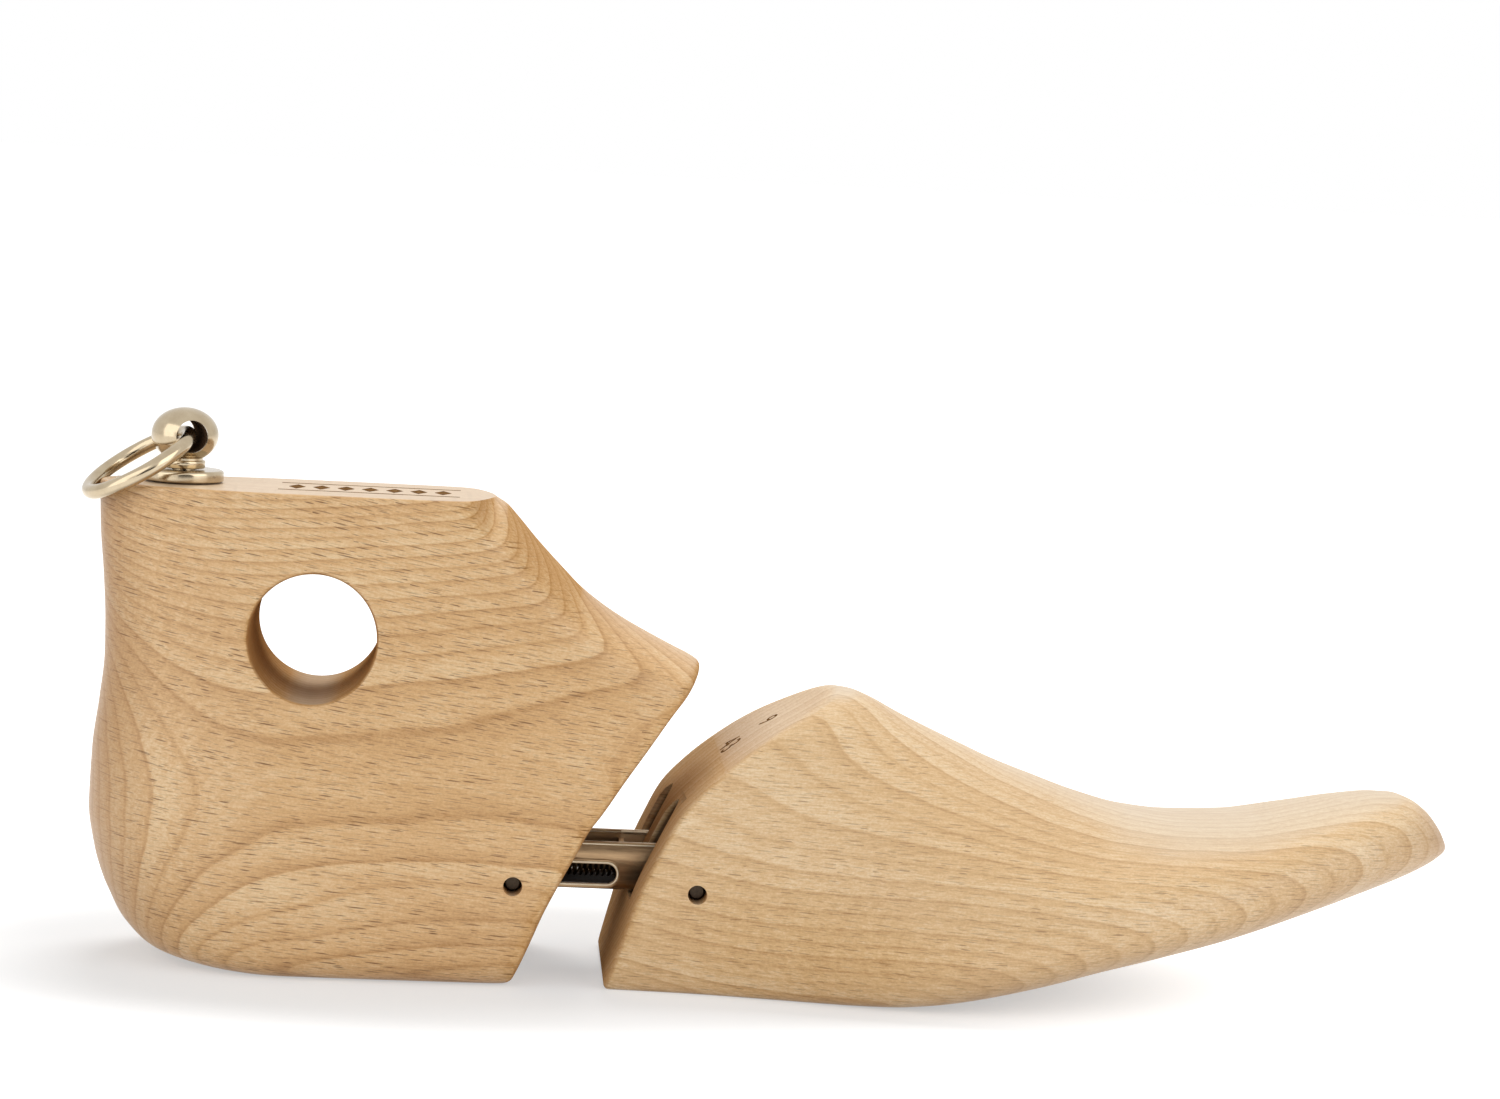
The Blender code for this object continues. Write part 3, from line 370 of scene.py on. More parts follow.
def heel_side(angle, height):
    """Distance from the widest line to the block's side in one direction, before the saw cut."""
    back, nose, half = heel_section(height)
    widest = HEEL_REACH * WIDEST_SHARE
    reach = np.where(np.cos(angle) > 0, nose - widest, widest - back)
    along = np.abs(np.cos(angle)) / reach
    across = np.abs(np.sin(angle)) / half
    plan = (along ** SECTION_POWER + across ** SECTION_POWER) ** (-1 / SECTION_POWER)
    arch = last_inside(
        np.zeros_like(plan), np.full_like(plan, 2 * HEEL_REACH),
        lambda out: out * np.sin(angle) < instep_half(widest + out * np.cos(angle), height),
        INSTEP_HALVINGS,
    )
    return np.where(np.cos(angle) > 0, blended(plan, arch, INSTEP_BLEND), plan)


def heel_slices():
    """The heel block's level outlines, from its seat to its top: an array of rings of points."""
    height = HEEL_HEIGHT * stepped(HEEL_SLICES)[:, None]
    widest = HEEL_REACH * WIDEST_SHARE
    cut = HEEL_REACH * read_curve(HEEL_CUT_SHARES, height / HEEL_HEIGHT) - widest
    cut = cut - rounding(height, CUT_EDGE)
    corner = last_inside(
        np.zeros_like(height), np.full_like(height, math.pi / 2),
        lambda turn: heel_side(turn, height) * np.cos(turn) > cut, CORNER_HALVINGS,
    )
    corner = np.maximum(corner, LEAST_CORNER)
    face_steps = 1 - (1 - np.arange(HEEL_FACE_POINTS) / HEEL_FACE_POINTS) ** FACE_CROWDING
    flank_steps = (np.arange(HEEL_FLANK_POINTS + 1) / HEEL_FLANK_POINTS) ** FLANK_CROWDING
    angle = np.hstack([corner * face_steps, corner + (math.pi - corner) * flank_steps])
    reach = heel_side(angle, height)
    forward = np.maximum(np.cos(angle), 1e-6)
    reach = np.where(np.cos(angle) > 0, blended(reach, cut / forward, CUT_EDGE), reach)
    x = widest + reach * np.cos(angle)
    y = reach * np.sin(angle)
    half_ring = np.stack([x, y, np.broadcast_to(height, x.shape)], axis=2)
    other = half_ring[:, -2:0:-1] * np.array([1.0, -1.0, 1.0])
    return np.concatenate([half_ring, other], axis=1)


def fore_half_section(share):
    """Half a section of the forepart, from the middle of the sole up to the ridge: across and up."""
    flat = read_curve(FLAT_SOLE_SHARES, share)
    widest = read_curve(WIDEST_HEIGHT_SHARES, share)
    sole = flat * np.arange(SOLE_POINTS + 1) / SOLE_POINTS
    turn = math.pi / 2 * np.arange(1, CORNER_POINTS + 1) / CORNER_POINTS
    rise = math.pi / 2 * np.arange(1, ARCH_POINTS + 1) / ARCH_POINTS
    arch = np.maximum(np.cos(rise), 0.0) ** (2 / ARCH_POWER)
    across = np.concatenate([sole, flat + (1 - flat) * np.sin(turn), arch])
    up = np.concatenate([
        np.zeros(SOLE_POINTS + 1),
        widest * (1 - np.cos(turn)),
        widest + (1 - widest) * np.sin(rise) ** (2 / ARCH_POWER),
    ])
    return across, up


def fore_ring(share, drawn):
    """One ring of the forepart: bent like the rear face at the back and upright at the toe."""
    bottom = FORE_LENGTH * share
    top = FACE_RUN + (FORE_LENGTH - FACE_RUN) * share
    low = FORE_HEIGHT * read_curve(SOLE_SHARES, bottom / FORE_LENGTH)
    high = FORE_HEIGHT * read_curve(RIDGE_SHARES, top / FORE_LENGTH)
    tall = high - low
    across, up = fore_half_section(share)
    up = 0.5 + (up - 0.5) * (1 - 2 * drawn / tall)
    x = bottom + (top - bottom) * read_curve(FACE_SHARES, up)
    y = across * (FORE_WIDTH / 2 * read_curve(PLAN_SHARES, x / FORE_LENGTH) - drawn)
    z = low + tall * up
    swing = TOE_SWING * (x / FORE_LENGTH) ** 2
    twist = FACE_SKEW * z / FORE_HEIGHT * (1 - share) ** 2 * y
    near = np.stack([FORE_START + x + twist, swing - y, z], axis=1)
    far = np.stack([FORE_START + x - twist, swing + y, z], axis=1)
    return np.vstack([near, far[-2:0:-1]])


def fore_slices():
    """The forepart's rings, from its rear face, whose edge is rounded, to the toe."""
    rings = []
    for angle in quarter(EDGE_POINTS)[:-1]:
        share = CUT_EDGE * (1 - math.cos(angle)) / FORE_LENGTH
        rings.append(fore_ring(share, CUT_EDGE * (1 - math.sin(angle))))
    start = CUT_EDGE / FORE_LENGTH
    end = 1 - TOE_NOSE / FORE_LENGTH
    for share in stepped(FORE_SLICES):
        rings.append(fore_ring(start + (end - start) * share, 0.0))
    return rings


def add_rings(bm, rings):
    """The points of each ring as vertices."""
    return [[bm.verts.new(point) for point in ring] for ring in rings]


def skin(bm, rings):
    """Faces between each ring and the next."""
    for lower, upper in zip(rings[:-1], rings[1:]):
        for k in range(len(lower)):
            after = (k + 1) % len(lower)
            bm.faces.new((lower[k], lower[after], upper[after], upper[k]))


def close_level(bm, ring):
    """Close a level end with smaller and smaller copies of its ring, so that its face stays flat."""
    middle = sum((v.co for v in ring), Vector()) / len(ring)
    shrinking = [[middle + (v.co - middle) * share for v in ring] for share in CAP_SHARES]
    inner = add_rings(bm, shrinking)
    skin(bm, [ring] + inner)
    bm.faces.new(inner[-1])


def close_across(bm, ring, columns=18):
    """Close the rear face with rows that run from its near edge to its far edge."""
    count = len(ring)
    rows = []
    for k in range(1, count // 2):
        near, far = ring[k], ring[count - k]
        between = [near.co.lerp(far.co, c / columns) for c in range(1, columns)]
        rows.append([near] + [bm.verts.new(point) for point in between] + [far])
    for first, last in ((ring[0], rows[0]), (ring[count // 2], rows[-1])):
        for k in range(columns):
            bm.faces.new((first, last[k], last[k + 1]))
    for lower, upper in zip(rows[:-1], rows[1:]):
        for k in range(columns):
            bm.faces.new((lower[k], lower[k + 1], upper[k + 1], upper[k]))


def mesh_from(bm, name):
    """The finished mesh, with its faces turned outward."""
    bmesh.ops.recalc_face_normals(bm, faces=bm.faces)
    mesh = bpy.data.meshes.new(name)
    bm.to_mesh(mesh)
    bm.free()
    return mesh


def lofted_mesh(name, rings):
    """A solid skinned over rings of points, with a flat face at each end."""
    bm = bmesh.new()
    rings = add_rings(bm, rings)
    skin(bm, rings)
    bm.faces.new(rings[0])
    bm.faces.new(rings[-1])
    return mesh_from(bm, name)


def moved_forward(mesh):
    """Lengths counted from the back of the heel become places in the frame."""
    mesh.transform(Matrix.Translation((-SEAT_FROM_BACK, 0, 0)))
    return mesh


def heel_wood_mesh():
    bm = bmesh.new()
    rings = add_rings(bm, heel_slices())
    skin(bm, rings)
    close_level(bm, rings[0])
    close_level(bm, rings[-1])
    return moved_forward(mesh_from(bm, "heel_wood"))


def fore_wood_mesh():
    bm = bmesh.new()
    rings = add_rings(bm, fore_slices())
    skin(bm, rings)
    bm.faces.new(rings[-1])
    close_across(bm, rings[0])
    return moved_forward(mesh_from(bm, "fore_wood"))


def arc(centre, radius, start, end, steps):
    """Points along an arc, with angles in degrees."""
    angles = [math.radians(start + (end - start) * k / steps) for k in range(steps + 1)]
    return [(centre[0] + radius * math.cos(a), centre[1] + radius * math.sin(a)) for a in angles]


def frame_at(origin, x_axis, y_axis):
    """A placement whose first two axes are given."""
    x_axis, y_axis = Vector(x_axis), Vector(y_axis)
    turn = Matrix((x_axis, y_axis, x_axis.cross(y_axis))).transposed().to_4x4()
    return Matrix.Translation(Vector(origin)) @ turn


def lengthwise(x, y, z):
    """A place of the wood, whose length is counted from the back of the heel, in the frame."""
    return Vector((x - SEAT_FROM_BACK, y, z))


def crosswise(x, y=0.0):
    """A placement at the height of the pins, whose own Z runs across the tree."""
    return frame_at(lengthwise(x, y, PIN_HEIGHT), (1, 0, 0), (0, 0, 1))


def turned_mesh(name, profile, closed=False, steps=TURNED_STEPS):
    """A profile of (radius, height) turned about Z. A radius of zero becomes a pole."""
    bm = bmesh.new()
    rows = []
    for radius, height in profile:
        if radius == 0:
            rows.append([bm.verts.new((0, 0, height))])
        else:
            turns = [2 * math.pi * k / steps for k in range(steps)]
            rows.append([bm.verts.new((radius * math.cos(a), radius * math.sin(a), height)) for a in turns])
    pairs = list(zip(rows[:-1], rows[1:]))
    if closed:
        pairs.append((rows[-1], rows[0]))
    for upper, lower in pairs:
        for k in range(steps):
            after = (k + 1) % steps
            corners = [upper[k % len(upper)], upper[after % len(upper)]]
            corners += [lower[after % len(lower)], lower[k % len(lower)]]
            bm.faces.new(list(dict.fromkeys(corners)))
    return mesh_from(bm, name)


def prism_mesh(name, outline, low, high):
    """A flat outline in the XZ plane, given as (x, z), made solid from one Y to another."""
    return lofted_mesh(name, [[(x, y, z) for x, z in outline] for y in (low, high)])


def box_mesh(name, low, high):
    outline = [(low[0], low[2]), (high[0], low[2]), (high[0], high[2]), (low[0], high[2])]
    return prism_mesh(name, outline, low[1], high[1])


def add_object(name, data):
    data.name = name
    piece = bpy.data.objects.new(name, data)
    bpy.context.scene.collection.objects.link(piece)
    return piece


def place_object(name, mesh, place):
    """An object whose mesh is moved to its place, so that the object itself stays at the origin."""
    mesh.transform(place)
    return add_object(name, mesh)


def cut_away(piece, *cutter_meshes):
    """Take each cutter's shape out of the piece, and leave its mesh plain."""
    for mesh in cutter_meshes:
        cutter = add_object("cutter", mesh)
        modifier = piece.modifiers.new("cut", "BOOLEAN")
        modifier.object = cutter
        modifier.operation = "DIFFERENCE"
        modifier.solver = "MANIFOLD"
        apply_modifiers(piece)
        bpy.data.objects.remove(cutter, do_unlink=True)


def evaluated_mesh(piece):
    """What a piece's modifiers, or a line of text, make of it, as a new mesh."""
    bpy.context.view_layer.update()
    evaluated = piece.evaluated_get(bpy.context.evaluated_depsgraph_get())
    return bpy.data.meshes.new_from_object(evaluated)


def apply_modifiers(piece):
    """Replace the piece's mesh by what its modifiers make of it."""
    mesh = evaluated_mesh(piece)
    piece.modifiers.clear()
    piece.data = mesh
    mesh.name = piece.name


def finish_piece(piece, material, body, nodes, sharp=40.0):
    """Smooth the piece's faces, give it its finish and hang it on its body in place of the CAD nodes."""
    piece.data.materials.clear()
    piece.data.materials.append(material)
    piece.data.shade_smooth()
    piece.data.set_sharp_from_angle(angle=math.radians(sharp))
    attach(piece, body)
    if nodes:
        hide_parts(*nodes)
    return piece


def turned_piece(name, profile, place, material, body, nodes, slot, sharp=40.0, **turning):
    """A turned profile in its place, with its finish."""
    piece = place_object(name, turned_mesh(name, profile, **turning), place)
    return finish_piece(piece, material, body, nodes, sharp)


def surface_of(piece):
    bm = bmesh.new()
    bm.from_mesh(piece.data)
    tree = BVHTree.FromBMesh(bm)
    bm.free()
    return tree


def finger_hole_cutter(piece):
    """A round cutter whose ends flare out on the wood's own surface, for the lip of the finger hole."""
    surface = surface_of(piece)
    radius, lip = FINGER_HOLE / 2, FINGER_HOLE_LIP
    columns = []
    for k in range(TURNED_STEPS * 2):
        angle = math.pi * k / TURNED_STEPS
        across = Vector((math.cos(angle), 0, math.sin(angle)))
        centre = lengthwise(FINGER_HOLE_X, 0, FINGER_HOLE_Z)
        column = []
        for side in (-1, 1):
            start = centre + across * (radius + lip) + Vector((0, side * HEEL_WIDTH, 0))
            hit = surface.ray_cast(start, Vector((0, -side, 0)))[0]
            depth = abs(hit.y)
            points = [
                (radius + lip * (1 - math.cos(turn)), depth - lip * (1 - math.sin(turn)))
                for turn in quarter(EDGE_POINTS)
            ]
            points.append((radius + lip, depth + OVERRUN))
            placed = [centre + across * r + Vector((0, side * d, 0)) for r, d in points]
            column += placed if side > 0 else placed[::-1]
        columns.append(column)
    return lofted_mesh("finger_hole", zip(*columns))


def cross_hole(name, x, reach):
    """A cutter for a cross pin's hole."""
    mesh = turned_mesh(name, [
        (0, -reach), (PIN_DIAMETER / 2 + FIT, -reach), (PIN_DIAMETER / 2 + FIT, reach), (0, reach),
    ], steps=PIN_STEPS)
    mesh.transform(crosswise(x))
    return mesh


def kerf_cutter(side):
    """A saw kerf that is round about the pin and narrows to a point at its upper end."""
    radius = EAR_RADIUS + math.hypot(LINK_NOSE - EAR_RADIUS, LINK_RISE - EAR_RADIUS) + SIDE_PLAY
    floor = LINK_DROP + SIDE_PLAY
    first = 180 + math.degrees(math.asin(floor / radius))
    around_pin = arc((FORE_PIN_X, PIN_HEIGHT), radius, first, KERF_ARC_END, KERF_POINTS)
    tip = (FORE_PIN_X - KERF_TIP_BACK, PIN_HEIGHT + KERF_TIP_RISE)
    shoulder = (tip[0], tip[1] - KERF_POINT)
    rear = FORE_START - OVERRUN
    outline = [(rear, PIN_HEIGHT - floor)] + around_pin
    outline += [shoulder, tip, (rear, tip[1]), (rear, shoulder[1])]
    middle = side * (LINK_WIDTH - SHEET) / 2
    half = (SHEET + 2 * SIDE_PLAY) / 2
    mesh = prism_mesh("kerf", [(x - SEAT_FROM_BACK, z) for x, z in outline], -half, half)
    for vertex in mesh.vertices:
        above = max(vertex.co.z - shoulder[1], 0.0) / KERF_POINT
        vertex.co.y = middle + vertex.co.y * (1 - KERF_NARROWING * above)
    return mesh


def face_at(height):
    """Where the forepart's rear face lies at a height, counted from the back of the heel."""
    return FORE_START + FACE_RUN * read_curve(FACE_SHARES, height / FORE_HEIGHT)


def mouth_cutter(side):
    """The wide mouth of a kerf, cut square to the rear face, with straight sides and a pointed top."""
    low, top = LINK_BOTTOM - SIDE_PLAY, PIN_HEIGHT + MOUTH_RISE
    foot = lengthwise(face_at(low), side * MOUTH_MIDDLE, low)
    up_face = lengthwise(face_at(top), side * MOUTH_MIDDLE, top) - foot
    length = up_face.length
    up_face.normalize()
    shoulder = length * (PIN_HEIGHT + MOUTH_SIDE_RISE - low) / (top - low)
    half = [(MOUTH_WIDTH / 2, 0.0)]
    for k in range(MOUTH_POINTS):
        share = k / MOUTH_POINTS
        half.append((MOUTH_WIDTH / 2 * (1 - share ** MOUTH_POWER), shoulder + (length - shoulder) * share))
    outline = half + [(0.0, length)] + [(-across, up) for across, up in reversed(half)]
    mesh = lofted_mesh("mouth", [
        [(across, up, deep) for across, up in outline] for deep in (-2 * OVERRUN, MOUTH_DEPTH)
    ])
    mesh.transform(frame_at(foot, (0, 1, 0), up_face))
    return mesh


# Places worked out from the sizes
FORE_START = HEEL_REACH * read_curve(HEEL_CUT_SHARES, 0.0) + BLOCK_GAP
HEEL_PIN_X = HEEL_REACH * read_curve(HEEL_CUT_SHARES, PIN_HEIGHT / HEEL_HEIGHT) - HEEL_PIN_INSET
FACE_AT_PIN = face_at(PIN_HEIGHT)
FORE_PIN_X = FACE_AT_PIN + FORE_PIN_INSET
LINK_TOP = PIN_HEIGHT + LINK_RISE
LINK_BOTTOM = PIN_HEIGHT - LINK_DROP
LINK_REAR = HEEL_PIN_X - LINK_TAIL
EAR_RADIUS = (LINK_RISE + LINK_DROP) / 2
TAB_FRONT = FACE_AT_PIN - TAB_SETBACK
TAB_REAR = TAB_FRONT - SHEET
SEAT_FRONT = HEEL_PIN_X + SEAT_LENGTH
SLOT_REAR = HEEL_PIN_X - PIN_DIAMETER / 2 - FIT
SLOT_FRONT = TAB_REAR - SHEET / 2
SPRING_HEIGHT = LINK_BOTTOM + SHEET + SIDE_PLAY + SPRING_DIAMETER / 2
POCKET_HALF = LINK_WIDTH / 2 + RIM_RELIEF + SIDE_PLAY
NECK_TOP = 2 * FIT + ROSETTE_THICKNESS + NECK_HEIGHT
EYE_RISE = NECK_TOP + BALL_HEIGHT / 2 * math.sqrt(1 - (NECK_DIAMETER / BALL_DIAMETER) ** 2)
EYE = lengthwise(KNOB_X, 0, HEEL_HEIGHT + EYE_RISE)
EYE_AXIS = Matrix.Rotation(KNOB_TURN, 3, "Z") @ Vector((0, 1, 0))
RING_LEVEL = Vector((0, 0, 1)).cross(EYE_AXIS)
RING_DOWN = Matrix.Rotation(-RING_DROP, 3, EYE_AXIS) @ RING_LEVEL

# Where the wood is painted darker, in mm of the frame: painted shade in the finger hole, and in the kerfs
# behind the rear face, which a parabola follows over these heights
HOLE_IN_MM = (
    (FINGER_HOLE_X - SEAT_FROM_BACK) / MM, FINGER_HOLE_Z / MM, (FINGER_HOLE / 2 + 0.4 * MM) / MM,
)
KERF_SHADE_FRONT = 90.0
KERF_SHADE_SIDE = (MOUTH_MIDDLE + MOUTH_WIDTH / 2 + 0.2 * MM) / MM
KERF_SHADE_TOP = (PIN_HEIGHT + MOUTH_RISE + MM) / MM
KERF_SHADE_BOTTOM = (LINK_BOTTOM - SIDE_PLAY - 0.5 * MM) / MM
SAWN_HEIGHTS = np.linspace(18.0, 42.0, 13)
REAR_FACE_CURVE = tuple(np.polyfit(SAWN_HEIGHTS, (face_at(SAWN_HEIGHTS * MM) - SEAT_FROM_BACK) / MM, 2))

# How high the painted shade lies in the bottom of the link, and over what height it thins out
CHANNEL_SHADE_LEVEL = PIN_HEIGHT + 2.0 * MM
CHANNEL_SHADE_FADE = 3.0 * MM

# Darkness across one year's growth: (share of the ring's width, darkness)
RING_DARKNESS = (
    (0.0, 0.25), (0.10, 0.0), (0.45, 0.10), (0.80, 0.45), (0.93, 1.0), (0.985, 0.75), (1.0, 0.25),
)


def colour(text):
    """A colour written as sRGB hex, in the linear values that a shader takes."""
    channels = [int(text[i:i + 2], 16) / 255 for i in (0, 2, 4)]
    linear = [c / 12.92 if c <= 0.04045 else ((c + 0.055) / 1.055) ** 2.4 for c in channels]
    return (*linear, 1.0)


def add_node(tree, kind, inputs=None, **settings):
    """One node with its settings. An input that is given a socket is linked, and any other is set."""
    node = tree.nodes.new(kind)
    for key, value in settings.items():
        setattr(node, key, value)
    for key, value in (inputs or {}).items():
        if isinstance(value, bpy.types.NodeSocket):
            tree.links.new(value, node.inputs[key])
        else:
            node.inputs[key].default_value = value
    return node


class Wiring:
    """Short ways to add nodes to one tree. Each gives an output of the node that it adds."""

    def __init__(self, tree):
        self.tree = tree

    def node(self, kind, inputs=None, output=0, **settings):
        return add_node(self.tree, kind, inputs, **settings).outputs[output]

    def calc(self, operation, *values, clamp=False):
        return self.node("ShaderNodeMath", dict(enumerate(values)), operation=operation, use_clamp=clamp)

    def vector(self, operation, *values, output=0):
        return self.node("ShaderNodeVectorMath", dict(enumerate(values)), output, operation=operation)

    def coordinates(self, kind="Object"):
        return self.node("ShaderNodeTexCoord", output=kind)

    def split(self, vector):
        return add_node(self.tree, "ShaderNodeSeparateXYZ", {0: vector}).outputs

    def joined(self, x=0.0, y=0.0, z=0.0):
        return self.node("ShaderNodeCombineXYZ", {0: x, 1: y, 2: z})

    def noise(self, place, detail=2.0, rough=0.5, scale=1.0):
        inputs = {"Vector": place, "Scale": scale, "Detail": detail, "Roughness": rough}
        return self.node("ShaderNodeTexNoise", inputs, "Fac")

    def mapped(self, value, given, wanted, **settings):
        """The value's way through the given range, carried over to the wanted one and level beyond it."""
        ends = zip(("From Min", "From Max", "To Min", "To Max"), (*given, *wanted))
        return self.node("ShaderNodeMapRange", {"Value": value, **dict(ends)}, **settings)

    def mixed(self, amount, first, second):
        """The first colour, with this much of the second, a hex colour, over it."""
        inputs = {"Factor": amount, 6: first, 7: colour(second)}
        return self.node("ShaderNodeMix", inputs, 2, data_type="RGBA")

    def ramp(self, value, stops, interpolation="LINEAR"):
        """The colour at this value on a ramp of stops, each a position and a colour."""
        node = add_node(self.tree, "ShaderNodeValToRGB", {"Fac": value})
        node.color_ramp.interpolation = interpolation
        first, *between, last = stops
        for stop, (position, tone) in zip(node.color_ramp.elements, (first, last)):
            stop.position = position
            stop.color = tone
        for position, tone in between:
            node.color_ramp.elements.new(position).color = tone
        return node.outputs["Color"]

    def link(self, node, outputs):
        """Link each output to the node's input of that name."""
        for name, output in outputs.items():
            self.tree.links.new(output, node.inputs[name])

    def seen_directly(self):
        """1 for a ray that the camera, metal or glass sends out, and 0 for one that lights the object."""
        rays = add_node(self.tree, "ShaderNodeLightPath").outputs
        camera_or_metal = self.calc("MAXIMUM", rays["Is Camera Ray"], rays["Is Glossy Ray"])
        return self.calc("MAXIMUM", camera_or_metal, rays["Is Transmission Ray"])


def new_material(name):
    """An empty material, the wiring of its tree and its shader node."""
    material = bpy.data.materials.new(name)
    material.use_nodes = True
    tree = material.node_tree
    return material, Wiring(tree), tree.nodes["Principled BSDF"]


def beech(
    name, slope, slope_by_height, rings_across, rings_bowed, swelling, ringed_by, flecked_by, sawn_way,
    tones, bores=(), kerf_shade_behind=None,
):
    """Planed and waxed beech, seen on its side.

    The short dark flecks are the wood's rays, cut across. The nested lines are its growth rings, which lie
    almost parallel to the side of the tree, so the carved shape shows them as loops, as on a map of a hill.
    """
    material, wiring, shader = new_material(name)
    calc, vector, noise, split = wiring.calc, wiring.vector, wiring.noise, wiring.split
    mapped, mixed = wiring.mapped, wiring.mixed
    millimetres = wiring.node(
        "ShaderNodeVectorMath", {0: wiring.coordinates(), "Scale": 1 / MM}, operation="SCALE"
    )
    x, y, z = split(millimetres)

    # The grain runs along X and falls towards the toe, more steeply higher up, and drifts a little
    fall = calc("MULTIPLY_ADD", z, slope_by_height, slope)
    across = calc("MULTIPLY_ADD", x, fall, z)
    drift = noise(vector("MULTIPLY", millimetres, (0.012, 0.01, 0.05)))
    across = calc("ADD", across, calc("MULTIPLY", calc("SUBTRACT", drift, 0.5), 4.0))
    grain = wiring.joined(x, y, across)

    def flecks(spacing, longest, thickest, shift):
        """Ray flecks of one size, in mm: spacing along, through and across, half length, half thickness."""
        cells = vector("DIVIDE", vector("ADD", grain, shift), spacing)
        pattern = add_node(
            wiring.tree, "ShaderNodeTexVoronoi", {"Vector": cells, "Scale": 1.0, "Randomness": 0.92},
            feature="F1",
        ).outputs
        away = split(vector("MULTIPLY", vector("SUBTRACT", cells, pattern["Position"]), spacing))
        chance = split(pattern["Color"])
        half_length = calc("MULTIPLY_ADD", chance[0], longest * 0.65, longest * 0.35)
        half_thickness = calc("MULTIPLY_ADD", chance[2], thickest * 0.5, thickest * 0.5)
        reach = calc("DIVIDE", away[0], half_length)
        taper = calc("MAXIMUM", calc("SUBTRACT", 1.0, calc("MULTIPLY", reach, reach)), 0.0)
        edge = calc("SUBTRACT", calc("MULTIPLY", half_thickness, taper), calc("ABSOLUTE", away[2]))
        inside = calc("MULTIPLY_ADD", edge, 9.0, 0.30, clamp=True)
        strength = calc("MULTIPLY_ADD", chance[1], 1.1, -0.1, clamp=True)
        return calc("MULTIPLY", calc("MULTIPLY", inside, strength), calc("GREATER_THAN", taper, 0.0))

    long_flecks = flecks(spacing=(5.2, 12.0, 0.95), longest=2.8, thickest=0.17, shift=(0.0, 0.0, 0.0))
    small_flecks = flecks(spacing=(3.2, 9.0, 0.60), longest=1.7, thickest=0.12, shift=(31.0, 17.0, 53.0))

    # Growth rings: how many lie below each point, and how dark each is across its width
    bow = calc("SUBTRACT", noise(vector("MULTIPLY", millimetres, (0.016, 0.02, 0.03)), detail=1.0), 0.5)
    wave = calc("SUBTRACT", noise(vector("MULTIPLY", grain, (0.03, 0.06, 0.13))), 0.5)
    rings = calc("MULTIPLY_ADD", bow, 0.9, calc("MULTIPLY", wave, 0.25))
    for way, per_mm in zip((x, y, z), rings_across):
        rings = calc("MULTIPLY_ADD", way, per_mm, rings)
    for (way, other), per_mm in zip(((x, x), (x, z), (z, z)), rings_bowed):
        rings = calc("MULTIPLY_ADD", calc("MULTIPLY", way, other), per_mm, rings)
    for centre, size, rise in swelling:
        near_it = vector("DIVIDE", vector("SUBTRACT", millimetres, centre), size)
        distance = vector("LENGTH", near_it, output="Value")
        hill = calc("EXPONENT", calc("MULTIPLY", calc("MULTIPLY", distance, distance), -1.0))
        rings = calc("MULTIPLY_ADD", hill, rise, rings)
    late = wiring.ramp(
        calc("FRACT", rings), [(place, (dark, dark, dark, 1)) for place, dark in RING_DARKNESS], "EASE"
    )
    year = wiring.node(
        "ShaderNodeTexWhiteNoise", {"W": calc("FLOOR", rings)}, "Value", noise_dimensions="1D"
    )

    # Fibres, pores and broad tone
    fibre = noise(vector("MULTIPLY", grain, (0.16, 1.6, 2.6)), detail=3.0, rough=0.6)
    layer = noise(vector("MULTIPLY", grain, (0.05, 2.2, 0.16)))
    speckle = noise(vector("MULTIPLY", millimetres, (1.5, 2.2, 2.2)), detail=3.0, rough=0.7)
    broad = noise(vector("MULTIPLY", millimetres, (0.012, 0.03, 0.03)), detail=1.0)
    tone = calc("MULTIPLY", late, ringed_by)
    for change, strength in ((year, 0.16), (fibre, 0.80), (layer, 0.30), (speckle, 0.75), (broad, 0.50)):
        tone = calc("MULTIPLY_ADD", calc("SUBTRACT", change, 0.5), strength, tone)
    light, middle, deep = (colour(text) for text in tones)
    wood = wiring.ramp(calc("ADD", tone, 0.34, clamp=True), ((0.0, light), (0.45, middle), (1.0, deep)))

    # The rays show as flecks on the sides only. On the top and the ends they are cut too short to see.
    facing = split(wiring.coordinates("Normal"))
    sideways = mapped(calc("ABSOLUTE", facing[1]), (0.25, 0.70), (0.12, 1.0))
    dark = calc("MAXIMUM", long_flecks, calc("MULTIPLY", small_flecks, 0.65))
    dark = calc("MULTIPLY", dark, sideways)
    shaded = mixed(calc("MULTIPLY", dark, flecked_by), wood, FLECK_BROWN)

    # Bored and sawn wood is open and dull, and its end grain is darker. The inside of the finger hole is
    # painted darker too, as painted shade
    end_grain = mapped(calc("ABSOLUTE", facing[0]), (0.40, 0.85), (0.0, 0.5))
    upward = calc("MULTIPLY", facing[2], 0.5, clamp=True)
    sawn_face = calc("SUBTRACT", calc("MULTIPLY", facing[0], sawn_way), upward)
    dull = mapped(sawn_face, (0.04, 0.26), (0.0, 1.0))
    bore_dull_and_shade = 0.0
    for bore_x, bore_z, radius in bores:
        from_axis = vector("DISTANCE", wiring.joined(x=x, z=z), (bore_x, 0.0, bore_z), output="Value")
        bore_dull_and_shade = calc("MAXIMUM", bore_dull_and_shade, calc("LESS_THAN", from_axis, radius))
    dull = calc("MAXIMUM", dull, bore_dull_and_shade)
    end_grain = calc("MULTIPLY_ADD", bore_dull_and_shade, 0.35, end_grain, clamp=True)
    shaded = mixed(end_grain, shaded, END_GRAIN_BROWN)

    # Painted sheen: where the wood faces up, as on the flat top, it is painted paler
    shaded = mixed(mapped(facing[2], (0.90, 0.99), (0.0, 0.34)), shaded, PAINTED_TOP_SHEEN)
    if kerf_shade_behind:
